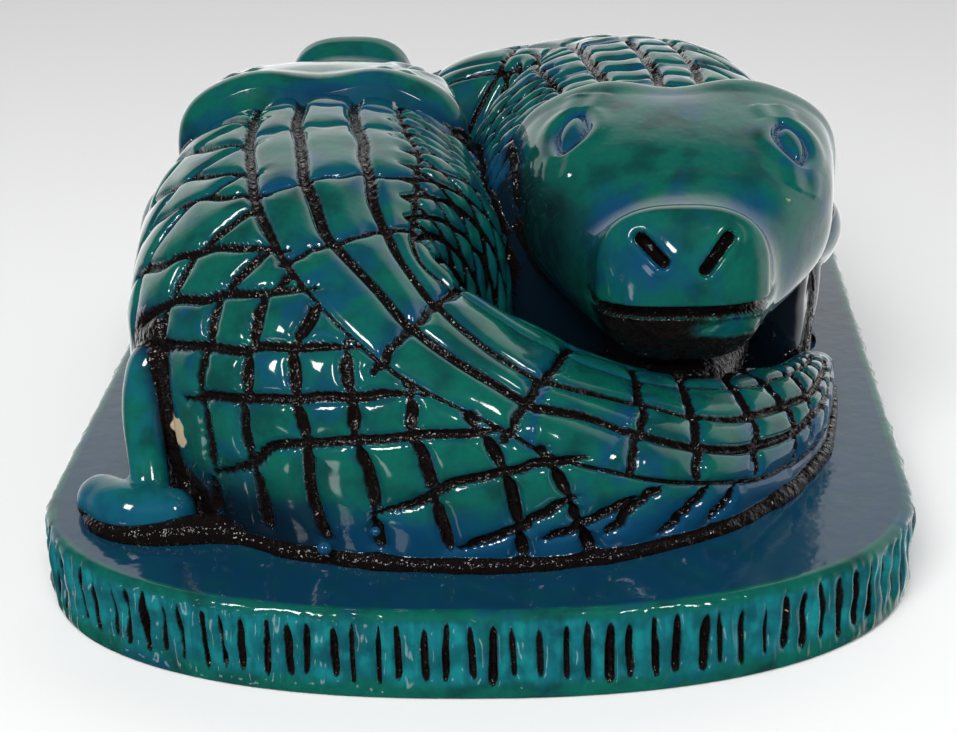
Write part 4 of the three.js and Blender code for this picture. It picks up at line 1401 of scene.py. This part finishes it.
def edge_cut_tree(material):
    """Cuts the plinth's edge with short upright gouges that differ in width, length and depth."""
    tree, given = new_tree("cut_plinth_edge",
                           {"Pitch": 0.003, "Width": 0.001, "Depth": 0.001, "Seed": 1})
    rim = stored(tree, "rim")
    around = stored(tree, "along")
    places = around / given["Pitch"]
    cell = places.calc("FLOOR")
    hand = {
        name: field(tree, "FunctionNodeRandomValue",
                    {2: least, 3: highest, 7: cell, 8: given["Seed"] + float(k)}, 1,
                    data_type="FLOAT")
        for k, (name, (least, highest)) in enumerate(CUT_SPREAD.items())
    }
    from_middle = places.calc("FRACT") - 0.5 - hand["shift"] + hand["lean"] * (rim - 0.5)
    across = from_middle.calc("ABSOLUTE")
    share = across * given["Pitch"] / (given["Width"] * hand["width"])
    from_foot = (rim - hand["foot"]).ease(*CUT_FOOT)
    from_lip = (hand["lip"] - rim).ease(*CUT_LIP)
    upright = from_foot * from_lip
    trough = share.ease(0.0, CUT_REACH, 1.0, 0.0) * upright * hand["strength"]
    shoulder = (1.0 - across * 2.0).calc("POWER", 2.0) * upright
    stroke = field(tree, "ShaderNodeTexNoise", {
        "Vector": joined(tree, around, rim * STROKE_STRETCH, 0.0), "Scale": STROKES, "Detail": 2.0,
    })
    ripple = field(tree, "ShaderNodeTexNoise", {"Scale": RIPPLES, "Detail": 0.0}) + (stroke - 0.5)
    on_rim = rim.ease(*ROUGH_FROM) * rim.ease(*ROUGH_TO, 1.0, 0.0)
    bumps = (ripple - 0.5) * on_rim
    dent = trough * given["Depth"] + shoulder * (SHOULDER_DIP * MM) + bumps * (EDGE_ROUGHNESS * MM)
    inward = dent * -1.0
    offset = joined(tree, stored(tree, "out_x") * inward, stored(tree, "out_y") * inward, 0.0)
    middle = rim.ease(*THIN_FROM) * rim.ease(*THIN_TO, 1.0, 0.0)
    on_top = rim.calc("GREATER_THAN", 1.5)
    looks = {
        "pool": trough.ease(*EDGE_POOL_DEPTHS) * EDGE_POOL,
        "hollow": (middle * EDGE_BLUE).at_least(on_top * TOP_BLUE),
        "thin": middle * stroke.ease(*STROKE_THINNESS),
        # Painted shade over the plinth's top, full in the middle between the crocodiles
        "shade": (on_top * TOP_SHADE).at_least(rim.ease(float(TOP_MARK), float(INNER_TOP_MARK))),
    }
    geometry = given["Geometry"]
    for name, value in looks.items():
        geometry = store(tree, geometry, name, value)
    geometry = field(tree, "GeometryNodeSetPosition", {"Geometry": geometry, "Offset": offset})
    for name in ("along", "out_x", "out_y", "rim"):
        geometry = field(tree, "GeometryNodeRemoveAttribute", {"Geometry": geometry, "Name": name})
    return close_tree(tree, geometry, material)


def roll_tree(material):
    """Sweeps an uneven roll of glaze along lines."""
    tree, given = new_tree("pooled_glaze_roll", {"Radius": 0.001, "Step": 0.0008, "Seed": 1.0})
    line = field(tree, "GeometryNodeMeshToCurve", {"Mesh": given["Geometry"]})
    line = field(tree, "GeometryNodeResampleCurve", {"Curve": line, "Length": given["Step"]},
                 mode="LENGTH")
    noise = field(tree, "ShaderNodeTexNoise", {"W": given["Seed"], "Scale": ROLL_LUMPS},
                  noise_dimensions="4D")
    along = field(tree, "GeometryNodeSplineParameter")
    radius = given["Radius"] * noise.ease(0.3, 0.7, 0.7, 1.2) * along.ease(0.75, 1.0, 1.0, 0.3)
    ring = field(tree, "GeometryNodeCurvePrimitiveCircle",
                 {"Resolution": ROLL_SIDES, "Radius": 1.0}, mode="RADIUS")
    geometry = field(tree, "GeometryNodeCurveToMesh", {
        "Curve": line, "Profile Curve": ring, "Scale": radius, "Fill Caps": True,
    })
    for name in ("pool", "hollow"):
        geometry = store(tree, geometry, name, 1.0)
    geometry = field(tree, "GeometryNodeSetShadeSmooth", {"Geometry": geometry})
    return close_tree(tree, geometry, material)


def bead_tree(material):
    """Sets a flattened ball of glaze on each point."""
    tree, given = new_tree("glaze_beads_on_points", {"Flatness": 0.9})
    ball = field(tree, "GeometryNodeMeshUVSphere",
                 {"Segments": BEAD_SIDES, "Rings": BEAD_RINGS, "Radius": 1.0})
    size = stored(tree, "bead_radius")
    scale = joined(tree, size, size, size * given["Flatness"])
    dots = field(tree, "GeometryNodeMeshToPoints", {"Mesh": given["Geometry"]})
    placed = field(tree, "GeometryNodeInstanceOnPoints",
                   {"Points": dots, "Instance": ball, "Scale": scale})
    geometry = field(tree, "GeometryNodeSetShadeSmooth", {"Geometry": placed})
    return close_tree(tree, geometry, material)


def line_mesh(name, lines):
    """Open lines of points above the plinth's top as an object of edges."""
    points = []
    edges = []
    for line in lines:
        edges += [(len(points) + i, len(points) + i + 1) for i in range(len(line) - 1)]
        points += line.tolist()
    return place_object(name, new_mesh(name, points, edges, [], plinth_top()))


def contact_line(ridge, sign, start):
    """Where one side of a body meets the plinth's top, from a distance on to the tail's tip."""
    along = np.arange(start, ridge.length, 1.0)
    rows = ridge.sample(along)
    _, side, height = section(rows[:, 2], rows[:, 3] if sign > 0 else rows[:, 4])
    low = slice(height.shape[1] // 2, None)
    sides = [np.interp(0, -heights[low], reach[low]) for heights, reach in zip(height, side)]
    return ridge.place(along, sign * np.array(sides), np.full(len(along), ROLL_HEIGHT))


def blend_colour(tree, share, first, second):
    """From the first colour to the second as the share goes from 0 to 1."""
    node = add_node(tree, "ShaderNodeMix", {"Factor": share}, data_type="RGBA")
    for socket, value in zip([s for s in node.inputs if s.type == "RGBA"], (first, second)):
        set_input(tree, socket, value if isinstance(value, Field) else (*value, 1))
    return Field(next(s for s in node.outputs if s.type == "RGBA"))


def glaze_material(look):
    """One fired glaze: green where thin, blue where it gathers, near black in the cuts."""
    material = bpy.data.materials.get("croc_glaze")
    if material:
        return material
    material = bpy.data.materials.new("croc_glaze")
    material.use_nodes = True
    tree = material.node_tree
    tree.nodes.clear()
    place = field(tree, "ShaderNodeTexCoord", output="Object")

    def noise(size, detail=3.0, roughness=0.5):
        return field(tree, "ShaderNodeTexNoise", {
            "Vector": place, "Scale": 1 / size, "Detail": detail, "Roughness": roughness,
        }, "Fac")

    pool, hollow, bare, shade, thinness = (
        field(tree, "ShaderNodeAttribute", output="Fac", attribute_name=name) for name in LOOKS
    )
    broad = noise(look.blotch)
    fine = noise(look.blotch / 4)
    grain = noise(GRAIN * MM, 2.0)
    dull = noise(DULL_PATCHES * MM, 4.0).ease(*DULL_RANGE)
    blotches = broad.ease(*BLOTCH_RANGE) * BLOTCH_BLUE
    blueness = hollow.at_least(blotches) + (fine - 0.5) * BLUE_MOTTLE
    thin = blend_colour(tree, grain.ease(*SECOND_GREEN_RANGE), look.green, look.second_green)
    thin = blend_colour(tree, dull, thin, look.dull_green)
    glaze = blend_colour(tree, blueness.ease(*BLUE_RANGE), thin, look.blue)
    glaze = blend_colour(tree, thinness * fine.ease(0.35, 0.65, 0.2, 1.1), glaze, look.pale)
    # Painted shade: the glaze darkens towards the deep colour as far as the shade attribute says
    glaze = blend_colour(tree, shade.ease(0.0, 1.0), glaze, look.deep)
    depth = (pool + (grain - 0.5) * POOL_MOTTLE).ease(*POOL_RANGE)
    pooled = blend_colour(tree, fine.ease(*BROWN_RANGE), look.dark, look.brown)
    glaze = blend_colour(tree, depth, glaze, pooled)
    missed = noise(MISSED_SPECKS * MM, 2.0, 0.7).ease(*MISSED_RANGE) * depth
    worn = (bare + (noise(WORN_EDGE * MM) - 0.5) * WORN_MOTTLE).ease(*WORN_RANGE)
    missed = missed.at_least(worn)
    waves = noise(SHALLOW_WAVES * MM, 2.0) * WAVE_HEIGHT
    lumps = noise(POOL_LUMPS * MM, 2.0) * depth * LUMP_HEIGHT
    bump = field(tree, "ShaderNodeBump", {
        "Height": waves + lumps, "Strength": BUMP_STRENGTH, "Distance": BUMP_HEIGHT * MM,
    })
    shader = field(tree, "ShaderNodeBsdfPrincipled", {
        "Base Color": blend_colour(tree, missed, glaze, look.bare),
        "Roughness": missed * BARE_ROUGHNESS + look.roughness + depth * POOL_ROUGHNESS,
        "Normal": bump,
        "IOR": GLAZE_IOR,
        "Specular IOR Level": depth.ease(0.0, 1.0, *MIRRORING),
    })
    add_node(tree, "ShaderNodeOutputMaterial", {"Surface": shader})
    return material


def dress(piece):
    """The piece takes the glaze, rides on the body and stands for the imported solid."""
    mesh = piece.data
    unsaid = [name for name in LOOKS if name not in mesh.attributes]
    finish_mesh(mesh, {name: np.zeros(len(mesh.vertices)) for name in unsaid})
    mesh.materials.clear()
    mesh.materials.append(glaze_material(bpy.context.scene.croc_glaze))
    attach(piece, BODY)
    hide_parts(NODE)


class CROC_OT_plinth(bpy.types.Operator):
    """Make the oval plinth with hand-cut gouges round its edge"""

    bl_idname = "croc.plinth"
    bl_label = "Plinth"

    def execute(self, context):
        cut = context.scene.croc_plinth
        rough, perimeter = plain_plinth()
        tree = edge_cut_tree(glaze_material(context.scene.croc_glaze))
        dress(run_tree(rough, tree, "plinth", {
            "Pitch": perimeter / round(perimeter / cut.cut_pitch),
            "Width": cut.cut_width,
            "Depth": cut.cut_depth,
            "Seed": cut.seed,
        }))
        return {"FINISHED"}


class CROC_OT_bodies(bpy.types.Operator):
    """Make both bodies with their carved scutes"""

    bl_idname = "croc.bodies"
    bl_label = "Bodies"

    def execute(self, context):
        carving = context.scene.croc_carving
        dress(make_body("left_body", LEFT_RIDGE, carving, BARE_SPOT, False))
        dress(make_body("right_body", RIGHT_RIDGE, carving, None, True))
        return {"FINISHED"}


class CROC_OT_heads(bpy.types.Operator):
    """Make both heads"""

    bl_idname = "croc.heads"
    bl_label = "Heads"

    def execute(self, context):
        dress(make_head("right_head", False, 0, 1))
        dress(make_head("left_head", True, LEFT_HEAD_SHIFT, LEFT_HEAD_WIDTH))
        return {"FINISHED"}


class CROC_OT_limbs(bpy.types.Operator):
    """Make the legs, the pools of glaze at the hind feet, and the throats"""

    bl_idname = "croc.limbs"
    bl_label = "Limbs"

    def execute(self, context):
        for side, turned in (("left", False), ("right", True)):
            dress(make_limb(side + "_hind_leg", [HIND_LEG, HIND_FOOT], turned,
                            thin=HIND_LEG_PALENESS))
            dress(make_limb(side + "_front_leg", [FRONT_ARM, FRONT_LEG], turned,
                            shade_below=FRONT_LEG_SHADE_BELOW))
            dress(make_limb(side + "_foot_pool", [FOOT_POOL], turned, dark=1))
        for side, turned, shift in (("right", False, 0), ("left", True, LEFT_HEAD_SHIFT)):
            dress(make_limb(side + "_throat", [THROAT], turned, shift, THROAT_GLAZE_AND_SHADE,
                            voxel=THROAT_VOXEL))
        return {"FINISHED"}


class CROC_OT_pooled_glaze(bpy.types.Operator):
    """Make the dark glaze that gathered where the bodies meet the plinth, and its beads"""

    bl_idname = "croc.pooled_glaze"
    bl_label = "Pooled glaze"

    def execute(self, context):
        material = glaze_material(context.scene.croc_glaze)
        lines = [contact_line(Ridge(rows), sign, start) for rows in (LEFT_RIDGE, RIGHT_RIDGE)
                 for sign, start in ROLL_STARTS.items()]
        roll = run_tree(line_mesh("pooled_rough", lines), roll_tree(material), "pooled_glaze", {
            "Radius": ROLL_RADIUS * MM, "Step": ROLL_STEP * MM, "Seed": ROLL_SEED,
        })
        fix_direction(roll.data)
        dress(roll)
        dots = line_mesh("beads_rough", [np.array([row[:3]]) for row in GLAZE_BEADS])
        sizes = dots.data.attributes.new("bead_radius", "FLOAT", "POINT")
        sizes.data.foreach_set("value", [row[3] * MM for row in GLAZE_BEADS])
        beads = run_tree(dots, bead_tree(material), "glaze_beads", {"Flatness": BEAD_FLATNESS})
        finish_mesh(beads.data, {"hollow": np.ones(len(beads.data.vertices))})
        dress(beads)
        return {"FINISHED"}


class CROC_OT_crevices(bpy.types.Operator):
    """Pool dark glaze and paint shade where the pieces of the figure meet each other"""

    bl_idname = "croc.crevices"
    bl_label = "Crevices"

    def execute(self, context):
        meshes = {side + part: bpy.data.objects[side + part].data
                  for part in ("_body", "_head", "_hind_leg", "_front_leg", "_throat")
                  for side in ("left", "right")}
        places = {name: mesh_points(mesh) for name, mesh in meshes.items()}
        for name, mesh in meshes.items():
            nearest = self.nearest_of_others(name, places)
            high_up = smooth(*CREVICE_CLEAR, places[name][:, 2] - plinth_top())
            pool_reach = LEFT_BODY_POOL_REACH if name == "left_body" else POOL_REACH
            for key, reach, strength in (
                ("pool", pool_reach, 1 - high_up),
                ("hollow", BLUE_REACH, CREVICE_BLUE),
                ("shade", SHADE_REACH, CREVICE_SHADE * (1 - high_up / 2)),
            ):
                values = np.empty(len(mesh.vertices), np.float32)
                mesh.attributes[key].data.foreach_get("value", values)
                values = np.maximum(values, strength * fade(CREVICE_FULL, reach, nearest))
                mesh.attributes[key].data.foreach_set("value", values.astype(np.float32))
        return {"FINISHED"}

    def nearest_of_others(self, name, places):
        """Distance from each point of a piece to the nearest point of another piece."""
        own = places[name]
        nearest = np.full(len(own), CREVICE_SEARCH * 2.0)
        for other, points in places.items():
            points = points[self.near_box(points, own)][::2]
            if other == name or len(points) == 0:
                continue
            tree = search_tree(points)
            close = self.near_box(own, points)
            found = np.array([tree.find(point)[2] for point in own[close].tolist()])
            if other.endswith("hind_leg"):
                found = found * HIND_LEG_NEARNESS
            nearest[close] = np.minimum(nearest[close], found)
        return nearest

    def near_box(self, points, others):
        """Which of the points lie in the others' box, or close outside it."""
        low = others.min(axis=0) - CREVICE_SEARCH
        high = others.max(axis=0) + CREVICE_SEARCH
        return ((points > low) & (points < high)).all(axis=1)


def towards(azimuth, elevation):
    """Direction from the figure; azimuth 0 is the viewer's side, and both are in radians."""
    level = math.cos(elevation)
    return Vector((math.sin(azimuth) * level, -math.cos(azimuth) * level, math.sin(elevation)))


def add_area(name, azimuth, elevation, distance, size, power):
    """A soft rectangular light that points at the figure; angles are in degrees."""
    direction = towards(math.radians(azimuth), math.radians(elevation))
    light = bpy.data.lights.new(name, "AREA")
    light.shape = "RECTANGLE"
    light.size = size[0] * MM
    light.size_y = size[1] * MM
    light.energy = power
    lamp = place_object(name, light)
    lamp.location = (Vector(LIGHT_TARGET) + direction * distance) * MM
    lamp.rotation_euler = direction.to_track_quat("Z", "Y").to_euler()
    return lamp


class CROC_OT_stage(bpy.types.Operator):
    """Set up the floor, the soft light and the camera"""

    bl_idname = "croc.stage"
    bl_label = "Stage"

    def execute(self, context):
        look = context.scene.croc_stage
        self.lay_floor(look)
        self.light_room(look)
        for window in WINDOWS:
            add_area(*window).visible_diffuse = False
        add_area(*OVERHEAD).visible_glossy = False
        self.place_camera(context)
        context.scene.view_settings.view_transform = "Standard"
        return {"FINISHED"}

    def lay_floor(self, look):
        corners = [(-1, -1, 0), (1, -1, 0), (1, 1, 0), (-1, 1, 0)]
        mesh = new_mesh("floor", np.array(corners) * FLOOR_REACH, [], [(0, 1, 2, 3)], 0)
        paint = bpy.data.materials.new("floor_paint")
        paint.use_nodes = True
        shader = paint.node_tree.nodes["Principled BSDF"]
        shader.inputs["Base Color"].default_value = (*look.floor, 1)
        shader.inputs["Roughness"].default_value = FLOOR_ROUGHNESS
        shader.inputs["Specular IOR Level"].default_value = FLOOR_MIRRORING
        mesh.materials.append(paint)
        floor = place_object("floor", mesh)
        floor.visible_glossy = False

    def light_room(self, look):
        """A pale room, bright behind the figure and dim on the viewer's side."""
        world = bpy.data.worlds.new("room")
        bpy.context.scene.world = world
        world.use_nodes = True
        tree = world.node_tree
        tree.nodes.clear()
        direction = field(tree, "ShaderNodeTexCoord", output="Generated")
        parts = add_node(tree, "ShaderNodeSeparateXYZ", {0: direction}).outputs
        right, far, up = (Field(parts[axis]) for axis in "XYZ")
        away = far - up.calc("ABSOLUTE") * ROOM_STEEPNESS + right.at_least(0.0) * ROOM_RIGHT
        room = away.ease(*ROOM_EASE, look.front_light, look.back_light)
        glint = field(tree, "ShaderNodeVectorMath", {0: direction, 1: TABLE_GLINT}, "Value",
                      operation="DOT_PRODUCT").ease(*TABLE_GLINT_EDGE, 0.0, look.table_glint)
        background = field(tree, "ShaderNodeBackground",
                           {"Color": (1, 1, 1, 1), "Strength": room + glint})
        add_node(tree, "ShaderNodeOutputWorld", {"Surface": background})

    def place_camera(self, context):
        back = towards(CAMERA_AZIMUTH, CAMERA_ELEVATION)
        right = Vector((math.cos(CAMERA_AZIMUTH), math.sin(CAMERA_AZIMUTH), 0))
        up = back.cross(right)
        cos_roll = math.cos(CAMERA_ROLL)
        sin_roll = math.sin(CAMERA_ROLL)
        rolled_right = right * cos_roll + up * sin_roll
        rolled_up = up * cos_roll - right * sin_roll
        turn = Matrix((rolled_right, rolled_up, back)).transposed().to_4x4()
        data = bpy.data.cameras.new("viewpoint")
        data.lens = CAMERA_LENS
        data.sensor_width = CAMERA_SENSOR
        data.sensor_fit = "HORIZONTAL"
        data.clip_start = CAMERA_NEAR * MM
        camera = place_object("viewpoint", data)
        camera.matrix_world = Matrix.Translation(Vector(CAMERA_PLACE) * MM) @ turn
        context.scene.camera = camera


STEPS = [CROC_OT_plinth, CROC_OT_bodies, CROC_OT_heads, CROC_OT_limbs, CROC_OT_pooled_glaze,
         CROC_OT_crevices, CROC_OT_stage]
SETTINGS = {
    "croc_plinth": PlinthSettings,
    "croc_carving": CarvingSettings,
    "croc_glaze": GlazeSettings,
    "croc_stage": StageSettings,
}


class CROC_PT_panel(bpy.types.Panel):
    """Lists the steps that make the figure"""

    bl_idname = "CROC_PT_panel"
    bl_label = "Crocodiles"
    bl_space_type = "VIEW_3D"
    bl_region_type = "UI"
    bl_category = "Crocodiles"

    def draw(self, context):
        for name, kind in SETTINGS.items():
            box = self.layout.box()
            for prop in kind.__annotations__:
                box.prop(getattr(context.scene, name), prop)
        for step in STEPS:
            self.layout.operator(step.bl_idname)


def register():
    for kind in [*SETTINGS.values(), *STEPS, CROC_PT_panel]:
        bpy.utils.register_class(kind)
    for name, kind in SETTINGS.items():
        setattr(bpy.types.Scene, name, bpy.props.PointerProperty(type=kind))


def unregister():
    for name in SETTINGS:
        delattr(bpy.types.Scene, name)
    for kind in [CROC_PT_panel, *reversed(STEPS), *reversed(SETTINGS.values())]:
        bpy.utils.unregister_class(kind)


def main():
    register()
    bpy.ops.croc.plinth()
    bpy.ops.croc.bodies()
    bpy.ops.croc.heads()
    bpy.ops.croc.limbs()
    bpy.ops.croc.pooled_glaze()
    bpy.ops.croc.crevices()
    bpy.ops.croc.stage()


if __name__ == "__main__":
    main()
